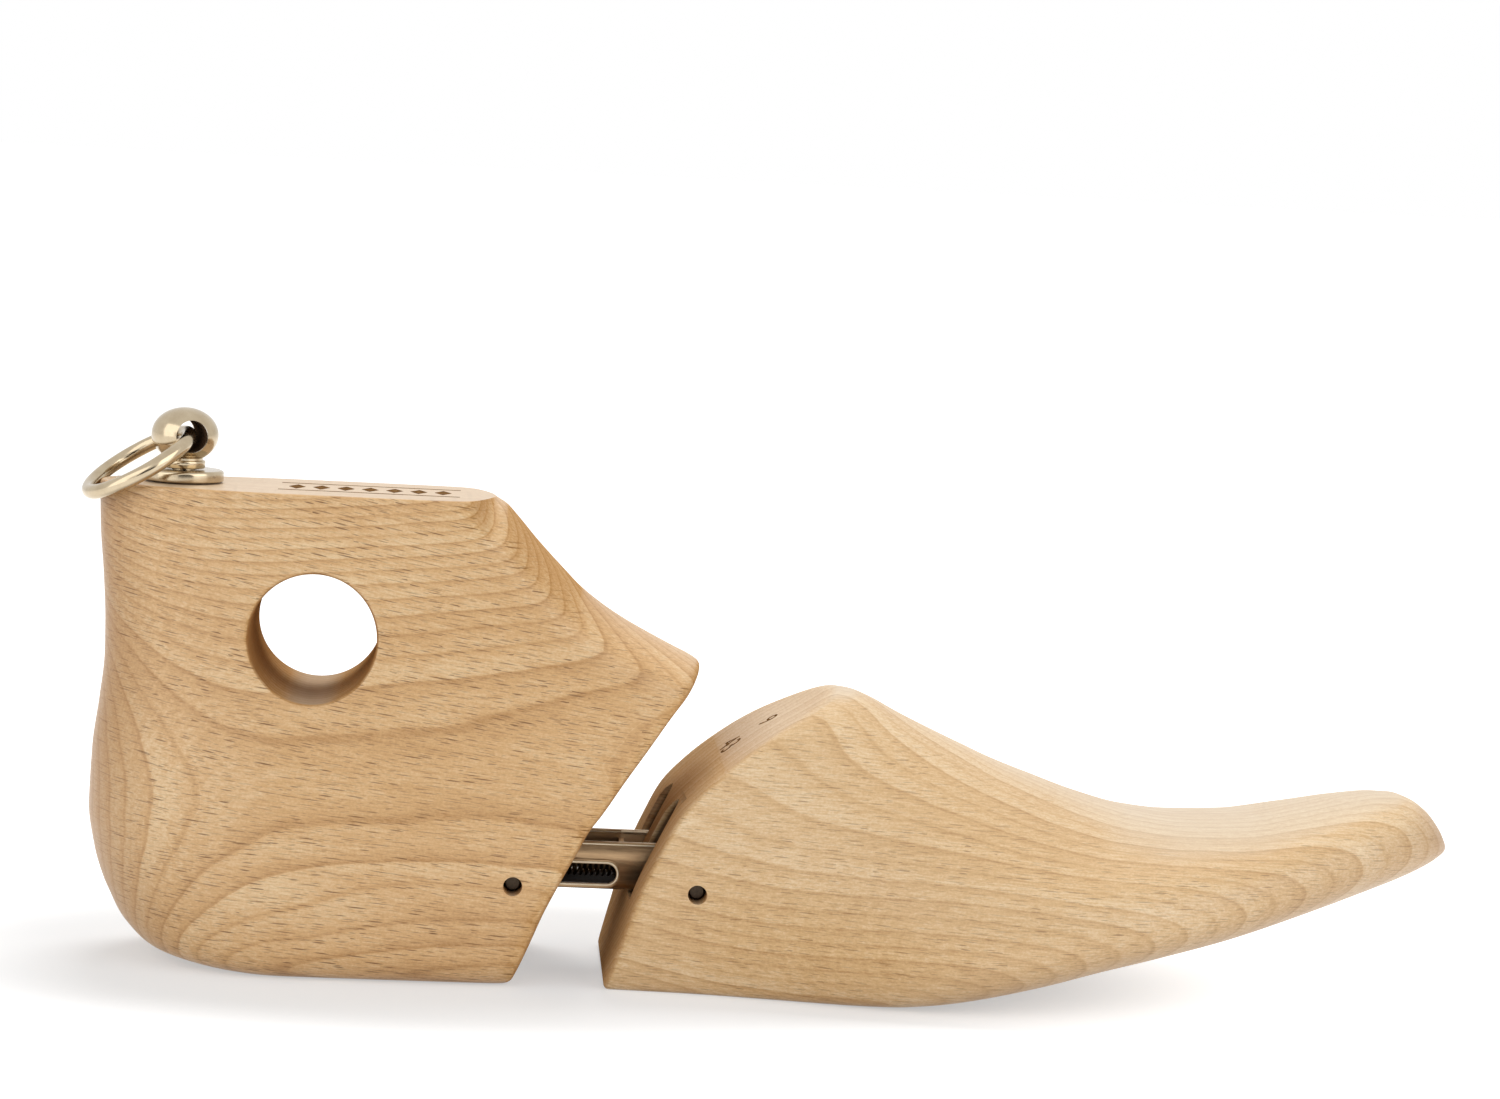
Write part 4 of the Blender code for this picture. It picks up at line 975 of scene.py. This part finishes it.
        # Painted shade in the saw kerfs, darker the deeper it lies behind the curve of the rear face
        square_by_z, slope_by_z, start_x = kerf_shade_behind
        face_x = calc("MULTIPLY_ADD", calc("MULTIPLY_ADD", z, square_by_z, slope_by_z), z, start_x)
        kerf_shade = mapped(calc("SUBTRACT", x, face_x), (0.35, 1.5), (0.0, 0.88))
        for value, limit in ((x, KERF_SHADE_FRONT), (calc("ABSOLUTE", y), KERF_SHADE_SIDE), (z, KERF_SHADE_TOP)):
            kerf_shade = calc("MULTIPLY", kerf_shade, calc("LESS_THAN", value, limit))
        kerf_shade = calc("MULTIPLY", kerf_shade, calc("GREATER_THAN", z, KERF_SHADE_BOTTOM))
        dull = calc("MAXIMUM", dull, calc("GREATER_THAN", kerf_shade, 0.0))
        shaded = mixed(kerf_shade, shaded, KERF_SHADE_BROWN)

    # The wax shines on the planed wood only, and the flecks stand a little lower than the fibres
    relief = calc("MULTIPLY_ADD", dark, -0.8, calc("MULTIPLY", fibre, 0.6))
    bump = wiring.node("ShaderNodeBump", {"Height": relief, "Strength": 0.25, "Distance": 0.08 * MM})
    wiring.link(shader, {
        "Base Color": shaded,
        "Roughness": calc("MULTIPLY_ADD", dark, 0.15, calc("MULTIPLY_ADD", fibre, 0.14, 0.32)),
        "Specular IOR Level": calc("MULTIPLY_ADD", dull, -0.5, 0.5),
        "Normal": bump,
    })
    shader.inputs["IOR"].default_value = 1.5
    return material


def metal(name, light, dark, grain_mm, rough, rough_spread, channel_shaded=False):
    """A metal whose tone and polish wander a little, between two hex colours and in marks of this size."""
    material, wiring, shader = new_material(name)
    place = wiring.coordinates()
    scaled = wiring.vector("MULTIPLY", place, tuple(1 / (MM * size) for size in grain_mm))
    marks = wiring.noise(scaled, detail=3.0, rough=0.6)
    finish = wiring.ramp(marks, ((0.3, colour(dark)), (0.7, colour(light))))
    shader.inputs["Metallic"].default_value = 1.0
    if channel_shaded:
        # Painted shade in the bottom of the channel, between its walls: a dark brown that is not metal
        _, across, up = wiring.split(place)
        wall = LINK_WIDTH / 2 - SHEET
        between = wiring.mapped(wiring.calc("ABSOLUTE", across), (wall, wall + SHEET * 0.3), (1.0, 0.0))
        low = wiring.mapped(up, (CHANNEL_SHADE_LEVEL, CHANNEL_SHADE_LEVEL + CHANNEL_SHADE_FADE), (0.95, 0.0))
        channel_shade = wiring.calc("MULTIPLY", between, low)
        finish = wiring.mixed(channel_shade, finish, CHANNEL_SHADE_BROWN)
        wiring.link(shader, {"Metallic": wiring.calc("SUBTRACT", 1.0, channel_shade)})
        shader.inputs["Specular IOR Level"].default_value = 0.0
    polish = wiring.calc("MULTIPLY_ADD", marks, rough_spread, rough)
    wiring.link(shader, {"Base Color": finish, "Roughness": polish})
    return material


def dull_finish(name, light, dark, mark_mm):
    """A dull, uneven brown that takes no shine."""
    material, wiring, shader = new_material(name)
    marks = wiring.noise(wiring.coordinates(), detail=3.0, scale=1 / (MM * mark_mm))
    finish = wiring.ramp(marks, ((0.3, colour(dark)), (0.7, colour(light))))
    wiring.link(shader, {"Base Color": finish})
    shader.inputs["Roughness"].default_value = 0.75
    shader.inputs["Specular IOR Level"].default_value = 0.0
    return material


# Beech cut near its side grain: broad nested loops on the heel, long runs on the paler forepart
HEEL_BEECH = beech(
    "waxed_beech_heel", slope=0.055, slope_by_height=0.0013, rings_across=(0.033, -0.30, -0.278),
    rings_bowed=(0.0, -0.00072, 0.0036), swelling=(((8.0, -28.0, 22.0), (34.0, 20.0, 7.0), 0.7),),
    ringed_by=0.36, flecked_by=0.92, sawn_way=1.0, tones=("E6CAA0", "D1A876", "AD804D"),
    bores=(HOLE_IN_MM,),
)
FORE_BEECH = beech(
    "waxed_beech_forepart", slope=0.03, slope_by_height=0.0004, rings_across=(0.168, 0.30, 0.539),
    rings_bowed=(-0.00041, -0.00062, -0.0056), swelling=(), ringed_by=0.27, flecked_by=0.55,
    sawn_way=-1.0, tones=("E8D0AC", "D3B082", "B1885A"), kerf_shade_behind=REAR_FACE_CURVE,
)
# Nickel plate gives the knob and ring a warm mirror
NICKEL = metal(
    "polished_nickel", "C4B499", "B6A58A", grain_mm=(3.0, 3.0, 3.0), rough=0.14, rough_spread=0.07,
)
# The bronzed sheet shows its rolling marks as streaks, with painted shade in the bottom of its channel, and
# its edges carry a painted highlight in pale steel
LINK_STEEL = metal(
    "bronzed_link_steel", "B89A76", "9E8263", grain_mm=(6.0, 0.6, 0.6), rough=0.26, rough_spread=0.14,
    channel_shaded=True,
)
HIGHLIGHT_EDGE_STEEL = metal(
    "link_edges_painted_highlight", "F0E4CC", "D6C7AB", grain_mm=(4.0, 0.5, 0.5), rough=0.42, rough_spread=0.12,
)
# Drawn wire, sawn pins and a turned sleeve, all hidden enough to stay dull
SPRING_STEEL = metal(
    "drawn_spring_wire", "7A6750", "5A4A39", grain_mm=(0.8, 0.8, 0.8), rough=0.40, rough_spread=0.15,
)
PIN_STEEL = metal(
    "dull_pin_steel", "4E4338", "3A3129", grain_mm=(0.6, 0.6, 0.6), rough=0.25, rough_spread=0.2,
)
INSERT_BRASS = metal(
    "turned_insert_brass", "D2A867", "B98C4A", grain_mm=(2.0, 2.0, 0.3), rough=0.25, rough_spread=0.15,
)
# Scorched wood in the marks gives a flat brown. The dark lining of the drilled eye and the dark hidden
# steel in the channel are painted shade, flat and dull
BURNT_WOOD = dull_finish("burnt_wood", "8A6844", "5A4029", mark_mm=1.25)
PAINTED_EYE_SHADE = dull_finish("painted_shade_in_eye", "6A5442", "463527", mark_mm=0.5)
# The saddle and guide rod in the channel are painted dark: painted shade
SHADED_SEAT_STEEL = dull_finish("seat_steel_painted_shade", "4A3C2F", "32281F", mark_mm=0.6)


def make_heel():
    wood = add_object("heel_wood", heel_wood_mesh())
    pocket_rear = LINK_REAR - SLIDE_TRAVEL - 2 * SIDE_PLAY
    low = lengthwise(pocket_rear, -POCKET_HALF, LINK_BOTTOM - SIDE_PLAY)
    high = lengthwise(FORE_START + FACE_RUN, POCKET_HALF, LINK_TOP + SIDE_PLAY)
    insert_hole = turned_mesh("insert_hole", [
        (0, OVERRUN), (INSERT_DIAMETER / 2 + FIT, OVERRUN),
        (INSERT_DIAMETER / 2 + FIT, -SHANK_LENGTH - SIDE_PLAY), (0, -SHANK_LENGTH - SIDE_PLAY),
    ])
    insert_hole.transform(Matrix.Translation(lengthwise(KNOB_X, 0, HEEL_HEIGHT)))
    cut_away(
        wood, finger_hole_cutter(wood), box_mesh("pocket", low, high),
        cross_hole("heel_pin_hole", HEEL_PIN_X, HEEL_WIDTH), insert_hole,
    )
    return finish_piece(wood, HEEL_BEECH, "heel", ["heel_block"])


def make_forepart():
    wood = add_object("fore_wood", fore_wood_mesh())
    cut_away(
        wood, kerf_cutter(-1), kerf_cutter(1), mouth_cutter(-1), mouth_cutter(1),
        cross_hole("fore_pin_hole", FORE_PIN_X, FORE_WIDTH),
    )
    return finish_piece(wood, FORE_BEECH, "front", ["forepart"])


def make_link():
    """The folded steel channel: the CAD's sheet with its edges broken as a press leaves them."""
    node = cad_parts["link_channel"]
    bm = bmesh.new()
    bm.from_mesh(node.data)
    bmesh.ops.remove_doubles(bm, verts=bm.verts, dist=0.004 * MM)
    bmesh.ops.dissolve_limit(bm, angle_limit=math.radians(1.5), verts=bm.verts, edges=bm.edges)
    link = add_object("link_sheet", mesh_from(bm, "link_sheet"))
    bevel = link.modifiers.new("broken_edges", "BEVEL")
    bevel.width = PRESSED_EDGE
    bevel.segments = 2
    bevel.limit_method = "ANGLE"
    bevel.angle_limit = math.radians(50)
    apply_modifiers(link)
    finish_piece(link, LINK_STEEL, "link", ["link_channel"])
    outside = LINK_WIDTH / 2
    for side in (-1, 1):
        # The flare over the slot, pressed out towards the forepart
        rings = []
        for x, top, crest, crest_out, foot in FLARE_SECTIONS:
            section = ((top, FLARE_ROOT), (top, 0.0), (crest, crest_out), (foot, 0.0), (foot, FLARE_ROOT))
            rings.append([
                lengthwise(x * MM, side * (outside + out * MM), z * MM) for z, out in section
            ])
        flare = add_object("pressed_flare", lofted_mesh("pressed_flare", rings))
        finish_piece(flare, LINK_STEEL, "link", [], sharp=60)

        # The rolled rim of the slot, whose ends are just short of half circles, in pale steel that paints a
        # highlight
        rim = grow_with_nodes("slot_rim", HIGHLIGHT_EDGE_STEEL, {
            "Length": SLOT_FRONT - SLOT_REAR + 2 * RIM_OUT, "Height": SLOT_HEIGHT + 2 * RIM_OUT,
            "Corner radius": (SLOT_HEIGHT / 2 + RIM_OUT) * 0.999, "Bead": RIM_BEAD,
            "Sides": 16, "Points": 24,
        }, rolled_rim)
        rim.data.transform(crosswise((SLOT_REAR + SLOT_FRONT) / 2, side * outside))
        finish_piece(rim, HIGHLIGHT_EDGE_STEEL, "link", [], sharp=60)

        # The rolled top edge of the wall, in pale steel that paints a highlight
        edge = grow_with_nodes("rolled_edge", HIGHLIGHT_EDGE_STEEL, {
            "First": LINK_REAR + EDGE_BEAD_INSET, "Last": FORE_PIN_X - EDGE_BEAD_INSET,
            "Bead": EDGE_BEAD, "Sides": 20,
        }, rolled_edge)
        along_wall = lengthwise(0, side * (outside - SHEET / 2), LINK_TOP - EDGE_BEAD_DROP)
        edge.data.transform(Matrix.Translation(along_wall))
        finish_piece(edge, HIGHLIGHT_EDGE_STEEL, "link", [], sharp=60)
    return link


def make_pins():
    widest = HEEL_REACH * WIDEST_SHARE
    _, nose, half = heel_section(PIN_HEIGHT)
    reach = (HEEL_PIN_X - widest) / (nose - widest)
    heel_half = half * (1 - reach ** SECTION_POWER) ** (1 / SECTION_POWER) - PIN_RECESS
    plan = read_curve(PLAN_SHARES, (FORE_PIN_X - FORE_START) / FORE_LENGTH)
    fore_half = FORE_WIDTH / 2 * plan - PIN_RECESS
    radius = PIN_DIAMETER / 2
    for name, x, long, body in (
        ("heel_pin", HEEL_PIN_X, heel_half, "heel"),
        ("forepart_pin", FORE_PIN_X, fore_half, "front"),
    ):
        turned_piece(name + "_turned", [
            (0, long), (radius - PIN_CHAMFER, long), (radius, long - PIN_CHAMFER),
            (radius, PIN_CHAMFER - long), (radius - PIN_CHAMFER, -long), (0, -long),
        ], crosswise(x), PIN_STEEL, body, [name], "pin_steel", sharp=30, steps=PIN_STEPS)


def along_link(x):
    """A turned piece laid down in the link, its top towards the toe, with its height zero at x."""
    return Matrix.Translation(lengthwise(x, 0, SPRING_HEIGHT)) @ Matrix.Rotation(math.pi / 2, 4, "Y")


def make_seat_and_guide():
    seat, spigot = SPRING_DIAMETER / 2, SPIGOT_DIAMETER / 2
    top = SEAT_FRONT - HEEL_PIN_X
    base = PIN_DIAMETER / 4
    edge, tip = STEEL_EDGE, top + SPIGOT_LENGTH
    mesh = turned_mesh("spring_saddle", [
        (0, tip), (spigot - edge, tip), (spigot, tip - edge),
        (spigot, top), (seat - edge, top), (seat, top - edge),
        (seat, base + edge), (seat - edge, base), (0, base),
    ], steps=PIN_STEPS)
    saddle = place_object("spring_saddle", mesh, along_link(HEEL_PIN_X))
    cut_away(saddle, cross_hole("saddle_groove", HEEL_PIN_X, seat + OVERRUN))
    finish_piece(saddle, SHADED_SEAT_STEEL, "heel", ["spring_seat"], sharp=30)

    rod, head = GUIDE_DIAMETER / 2, RIVET_DIAMETER / 2
    long = TAB_FRONT - (SEAT_FRONT + SPIGOT_LENGTH + SLIDE_TRAVEL + GUIDE_GAP)
    dome = [(head * math.sin(a), FIT + RIVET_HEAD * math.cos(a)) for a in quarter(EDGE_POINTS)[1:]]
    turned_piece("guide_rod", [(0, FIT + RIVET_HEAD)] + dome + [
        (rod, FIT), (rod, edge - long), (rod - edge, -long), (0, -long),
    ], along_link(TAB_FRONT), SHADED_SEAT_STEEL, "link", ["spring_guide"], "seat_steel", sharp=30, steps=PIN_STEPS)


def grow_with_nodes(name, material, sizes, build):
    """A piece grown by Geometry Nodes from named sizes, as a plain mesh. build gives its geometry."""
    tree = bpy.data.node_groups.new(name + "_nodes", "GeometryNodeTree")
    wiring = Wiring(tree)
    for key, value in sizes.items():
        kind = "NodeSocketInt" if isinstance(value, int) else "NodeSocketFloat"
        tree.interface.new_socket(key, in_out="INPUT", socket_type=kind)
    tree.interface.new_socket("Geometry", in_out="OUTPUT", socket_type="NodeSocketGeometry")
    grown = build(wiring, add_node(tree, "NodeGroupInput").outputs)
    real = wiring.node("GeometryNodeRealizeInstances", {"Geometry": grown})
    finished = wiring.node("GeometryNodeSetMaterial", {"Geometry": real, "Material": material})
    add_node(tree, "NodeGroupOutput", {"Geometry": finished})
    piece = add_object(name, bpy.data.meshes.new(name))
    modifier = piece.modifiers.new("grown", "NODES")
    modifier.node_group = tree
    for item in tree.interface.items_tree:
        if item.in_out == "INPUT":
            value = sizes[item.name]
            modifier[item.identifier] = value if isinstance(value, int) else float(value)
    apply_modifiers(piece)
    return piece


def round_bead(wiring, path, sides, radius, capped=False):
    """A round bead or wire along a path."""
    section = wiring.node("GeometryNodeCurvePrimitiveCircle", {"Resolution": sides, "Radius": radius})
    return wiring.node("GeometryNodeCurveToMesh", {
        "Curve": path, "Profile Curve": section, "Fill Caps": capped,
    })


def wound_wire(wiring, sizes):
    """A round wire wound in a helix about Z."""
    coil = wiring.node("GeometryNodeCurveSpiral", {
        "Resolution": sizes["Points per turn"], "Rotations": sizes["Turns"],
        "Start Radius": sizes["Radius"], "End Radius": sizes["Radius"], "Height": sizes["Length"],
    })
    return round_bead(wiring, coil, sizes["Wire sides"], sizes["Wire radius"], capped=True)


def bent_wire(wiring, sizes):
    """A round wire bent into a closed ring about Z."""
    ring = wiring.node("GeometryNodeCurvePrimitiveCircle", {
        "Resolution": sizes["Points"], "Radius": sizes["Radius"],
    })
    return round_bead(wiring, ring, sizes["Wire sides"], sizes["Wire radius"])


def rolled_rim(wiring, sizes):
    """A round bead that follows the outline of a slot."""
    outline = wiring.node("GeometryNodeCurvePrimitiveQuadrilateral", {
        "Width": sizes["Length"], "Height": sizes["Height"],
    })
    rounded = wiring.node("GeometryNodeFilletCurve", {
        "Curve": outline, "Count": sizes["Points"], "Radius": sizes["Corner radius"],
    }, mode="POLY")
    return round_bead(wiring, rounded, sizes["Sides"], sizes["Bead"])


def rolled_edge(wiring, sizes):
    """The rounded top edge of a wall, from the first to the last place along it."""
    line = wiring.node("GeometryNodeCurvePrimitiveLine", {
        "Start": wiring.joined(x=sizes["First"]), "End": wiring.joined(x=sizes["Last"]),
    })
    return round_bead(wiring, line, sizes["Sides"], sizes["Bead"], capped=True)


def mark_row(wiring, sizes):
    """A plain burnt mark: a row of lozenges between two bars, each a thin prism."""
    row = wiring.node("GeometryNodeMeshLine", {
        "Count": sizes["Lozenges"], "Start Location": wiring.joined(x=sizes["First"]),
        "Offset": wiring.joined(x=sizes["Spacing"]),
    })
    lozenge = wiring.node("GeometryNodeMeshCylinder", {
        "Vertices": 4, "Radius": sizes["Lozenge radius"], "Depth": sizes["Thickness"],
    })
    longer = wiring.joined(1.0, sizes["Lozenge stretch"], 1.0)
    lozenge = wiring.node("GeometryNodeTransform", {"Geometry": lozenge, "Scale": longer})
    lozenges = wiring.node("GeometryNodeInstanceOnPoints", {"Points": row, "Instance": lozenge})
    bar = wiring.node("GeometryNodeMeshCube", {
        "Size": wiring.joined(sizes["Bar length"], sizes["Bar width"], sizes["Thickness"]),
    })
    together = add_node(wiring.tree, "GeometryNodeJoinGeometry")
    wiring.tree.links.new(lozenges, together.inputs[0])
    for side in (-1.0, 1.0):
        place = wiring.joined(y=wiring.calc("MULTIPLY", sizes["Bar distance"], side))
        placed = wiring.node("GeometryNodeTransform", {"Geometry": bar, "Translation": place})
        wiring.tree.links.new(placed, together.inputs[0])
    return together.outputs[0]


def make_ankle_mark():
    mark = grow_with_nodes("ankle_mark", BURNT_WOOD, {
        "Lozenges": MARK_LOZENGES, "First": -MARK_SPACING * (MARK_LOZENGES - 1) / 2,
        "Spacing": MARK_SPACING, "Lozenge radius": LOZENGE_RADIUS, "Lozenge stretch": LOZENGE_STRETCH,
        "Thickness": BURN_THICKNESS, "Bar length": MARK_LENGTH, "Bar width": BAR_WIDTH,
        "Bar distance": BAR_DISTANCE,
    }, mark_row)
    mark.data.transform(Matrix.Translation(lengthwise(MARK_X, 0, HEEL_HEIGHT)))
    finish_piece(mark, BURNT_WOOD, "heel", [], sharp=30)


def make_number(text, size, height, wood):
    """A plain number burnt into the forepart's rear face, read from the rear with its top up the slope."""
    curve = bpy.data.curves.new("number", "FONT")
    curve.body = text
    curve.size = size / DIGIT_SHARE
    curve.align_x = "CENTER"
    curve.align_y = "CENTER"
    curve.extrude = BURN_THICKNESS / 2
    holder = add_object("number", curve)
    flat = evaluated_mesh(holder)
    bpy.data.objects.remove(holder, do_unlink=True)
    bm = bmesh.new()
    bm.from_mesh(flat)
    bmesh.ops.remove_doubles(bm, verts=bm.verts, dist=0.001 * MM)
    right = Vector((0, -1, 0))
    low, high = height - size, height + size
    up = lengthwise(face_at(high), 0, high) - lengthwise(face_at(low), 0, low)
    up.normalize()
    outward = right.cross(up)
    centre = lengthwise(face_at(height), NUMBER_ACROSS, height)
    surface = surface_of(wood)
    for vertex in bm.verts:
        flat_place = centre + right * vertex.co.x + up * vertex.co.y
        on_face = surface.ray_cast(flat_place + outward * CAST_FROM, -outward)[0]
        vertex.co = on_face + outward * vertex.co.z
    number = add_object("burnt_number", mesh_from(bm, "burnt_number"))
    finish_piece(number, BURNT_WOOD, "front", [], sharp=30)


def make_spring():
    start = SEAT_FRONT + FIT + SPRING_WIRE
    end = TAB_REAR - FIT - SPRING_WIRE
    spring = grow_with_nodes("spring_coil", SPRING_STEEL, {
        "Points per turn": 36, "Turns": float(SPRING_TURNS), "Radius": (SPRING_DIAMETER - SPRING_WIRE) / 2,
        "Length": end - start, "Wire sides": 12, "Wire radius": SPRING_WIRE / 2,
    }, wound_wire)
    spring.data.transform(along_link(start))
    finish_piece(spring, SPRING_STEEL, "link", ["link_spring"], sharp=60)
    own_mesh(spring)


def make_knob():
    """The rosette, the insert and the ball knob with its shank, all about the knob's upright axis."""
    place = Matrix.Translation(lengthwise(KNOB_X, 0, HEEL_HEIGHT))
    bore = SHANK_DIAMETER / 2 + FIT
    outer = ROSETTE_DIAMETER / 2
    low, high = FIT, FIT + ROSETTE_THICKNESS
    edge, foot = 0.75 * MM, 0.35 * MM
    turned_piece("rosette", [(bore, high)]
        + arc((outer - edge, high - edge), edge, 90, 0, EDGE_POINTS)
        + arc((outer - foot, low + foot), foot, 0, -90, EDGE_POINTS)
        + [(bore, low)], place, NICKEL, "heel", ["knob_rosette"], "nickel", closed=True)

    outer = INSERT_DIAMETER / 2
    chamfer = 0.4 * MM
    turned_piece("threaded_insert", [
        (bore, -FIT), (outer - chamfer, -FIT), (outer, -FIT - chamfer), (outer, chamfer - INSERT_LENGTH),
        (outer - chamfer, -INSERT_LENGTH), (bore, -INSERT_LENGTH),
    ], place, INSERT_BRASS, "heel", ["knob_insert"], "insert_brass", sharp=30, closed=True)

    # The ball on its waist and neck, with the shank below
    neck, shank = NECK_DIAMETER / 2, SHANK_DIAMETER / 2
    radius, half = EYE_DIAMETER / 2, BALL_DIAMETER / 2
    base = high + FIT
    waist = neck - WAIST_DEPTH
    last = math.pi - math.asin(waist / half)
    ball = [
        (half * math.sin(a), EYE_RISE + BALL_HEIGHT / 2 * math.cos(a))
        for a in np.linspace(0, last, BALL_POINTS)
    ]
    ball[0] = (0, ball[0][1])
    below = ball[-1][1]
    collar = below - 0.75 * MM
    profile = ball + [(waist, below - 0.12 * MM), (waist, collar + 0.30 * MM)]
    profile += arc(
        (neck - COLLAR_EDGE + 0.02 * MM, collar - COLLAR_EDGE + 0.30 * MM), COLLAR_EDGE, 90, 0, 6
    )
    profile += [(neck, base + 0.2 * MM), (neck - 0.2 * MM, base), (shank, base)]
    profile += [(shank, FIT - SHANK_LENGTH), (0, FIT - SHANK_LENGTH)]
    knob = place_object("ball", turned_mesh("ball", profile), place)

    # The eye, drilled through the ball and flared at both ends
    flare = [
        (radius + EYE_FLARE * (1 - math.cos(a)), half - 2 * EYE_FLARE * (1 - math.sin(a)))
        for a in reversed(quarter(EYE_POINTS))
    ]
    upper = [(0, half + OVERRUN), (radius + EYE_FLARE, half + OVERRUN)] + flare
    lower = [(r, -h) for r, h in reversed(upper)]
    along_eye = frame_at(EYE, RING_DOWN, EYE_AXIS.cross(RING_DOWN))
    mesh = turned_mesh("eye", upper + lower)
    mesh.transform(along_eye)
    cut_away(knob, mesh)
    finish_piece(knob, NICKEL, "heel", ["ball_knob"], sharp=50)

    # A dark dull lining inside the eye: painted shade in the bore
    long = EYE_LINING_SHARE * half
    inner, outer = radius - EYE_LINING, radius + FIT / 3
    turned_piece(
        "eye_lining", [(inner, long), (outer, long), (outer, -long), (inner, -long)],
        along_eye, PAINTED_EYE_SHADE, "heel", [], "nickel", sharp=30, closed=True,
    )


def make_ring():
    ring = grow_with_nodes("ring_wire", NICKEL, {
        "Points": 160, "Radius": RING_RADIUS, "Wire sides": 40, "Wire radius": RING_WIRE / 2,
    }, bent_wire)
    ring.data.transform(frame_at(EYE + RING_DOWN * RING_OFFSET, RING_DOWN, EYE_AXIS))
    finish_piece(ring, NICKEL, "ring", ["pull_ring"])


def make_floor():
    """A white floor that keeps the tree's shadow: least lifted under the tree, and white away from it."""
    bm = bmesh.new()
    bmesh.ops.create_grid(bm, x_segments=1, y_segments=1, size=FLOOR_HALF)
    floor = add_object("floor", mesh_from(bm, "floor"))
    material, wiring, shader = new_material("white_floor")
    wiring.tree.nodes.remove(shader)
    seen = wiring.seen_directly()
    near_tree = wiring.vector("MULTIPLY_ADD", wiring.coordinates(), SHADOW_SCALE, SHADOW_SHIFT)
    whiter = wiring.mapped(
        wiring.vector("LENGTH", near_tree, output="Value"), (SHADOW_REACH, WHITE_FROM),
        (FLOOR_LIFT, FAR_FLOOR_LIFT), interpolation_type="SMOOTHSTEP",
    )
    tone = wiring.mixed(seen, colour(FLOOR_BOUNCE), FLOOR_SEEN)
    matt = wiring.node("ShaderNodeBsdfDiffuse", {"Color": tone})
    glow = wiring.node("ShaderNodeEmission", {
        "Color": (1, 1, 1, 1), "Strength": wiring.calc("MULTIPLY", seen, whiter),
    })
    both = wiring.node("ShaderNodeAddShader", {0: matt, 1: glow})
    wiring.link(wiring.tree.nodes["Material Output"], {"Surface": both})
    floor.data.materials.append(material)


def make_world():
    """A dim even room for the object, which the camera and the metal see as white."""
    world = bpy.data.worlds.new("studio")
    bpy.context.scene.world = world
    world.use_nodes = True
    wiring = Wiring(world.node_tree)
    wiring.tree.nodes.clear()
    dim, white = (
        wiring.node("ShaderNodeBackground", {"Color": (1, 1, 1, 1), "Strength": strength})
        for strength in (ROOM_LIGHT, 1.0)
    )
    room = wiring.node("ShaderNodeMixShader", {0: wiring.seen_directly(), 1: dim, 2: white})
    output = add_node(wiring.tree, "ShaderNodeOutputWorld", {"Surface": room})
    output.is_active_output = True


def aimed(place, target, front):
    """A placement at a place, with its front axis towards the target."""
    aim = (Vector(target) - Vector(place)).to_track_quat(front, "Y")
    return Matrix.Translation(Vector(place)) @ aim.to_matrix().to_4x4()


def add_lamp(name, place, target, width, height, power, mirrored):
    """A soft box that faces its target, and whether the polished metal shows it."""
    lamp = bpy.data.lights.new(name, "AREA")
    lamp.shape = "RECTANGLE"
    lamp.size = width
    lamp.size_y = height
    lamp.energy = power
    holder = add_object(name, lamp)
    holder.visible_glossy = mirrored
    holder.matrix_world = aimed(place, target, "-Z")


def add_dark_card(name, place, target, width, height):
    """A dark board behind the camera, which only the polished metal shows."""
    bm = bmesh.new()
    bmesh.ops.create_grid(bm, x_segments=1, y_segments=1, size=0.5)
    bmesh.ops.scale(bm, vec=(width, height, 1.0), verts=bm.verts)
    bmesh.ops.transform(bm, matrix=aimed(place, target, "Z"), verts=bm.verts)
    card = add_object(name, mesh_from(bm, name))
    material, _, shader = new_material("dark_card")
    shader.inputs["Base Color"].default_value = colour(CARD_BROWN)
    shader.inputs["Roughness"].default_value = 0.9
    card.data.materials.append(material)
    card.visible_camera = False
    card.visible_diffuse = False
    card.visible_shadow = False


def make_camera():
    """The photograph's view: a little to the left of square on, a little above, and slightly rolled."""
    turned_back = -math.cos(CAMERA_TURN) * math.cos(CAMERA_RISE)
    back = Vector((math.sin(CAMERA_TURN) * math.cos(CAMERA_RISE), turned_back, math.sin(CAMERA_RISE)))
    right = (-back).cross(Vector((0, 0, 1))).normalized()
    up = right.cross(-back)
    level = right * math.cos(CAMERA_ROLL) + up * math.sin(CAMERA_ROLL)
    upright = up * math.cos(CAMERA_ROLL) - right * math.sin(CAMERA_ROLL)
    camera = bpy.data.cameras.new("camera")
    camera.lens = LENS_MM
    camera.sensor_width = FILM_MM
    camera.sensor_fit = "HORIZONTAL"
    camera.clip_end = 100.0
    holder = add_object("camera", camera)
    turned = Matrix((level, upright, back)).transposed().to_4x4()
    holder.matrix_world = Matrix.Translation(Vector(CAMERA_TARGET) + back * CAMERA_DISTANCE) @ turned
    bpy.context.scene.camera = holder


make_camera()
make_world()
make_floor()
for lamp in LAMPS:
    add_lamp(*lamp)
add_dark_card("camera_board", place=(0.0, -1.7, 0.15), target=(0.0, 0.0, 0.1), width=2.2, height=1.0)
make_heel()
fore_wood = make_forepart()
make_ankle_mark()
for digits, size, height in NUMBERS:
    make_number(digits, size, height, fore_wood)
make_link()
make_pins()
make_seat_and_guide()
make_spring()
make_knob()
make_ring()

bpy.context.scene.view_settings.view_transform = "Standard"
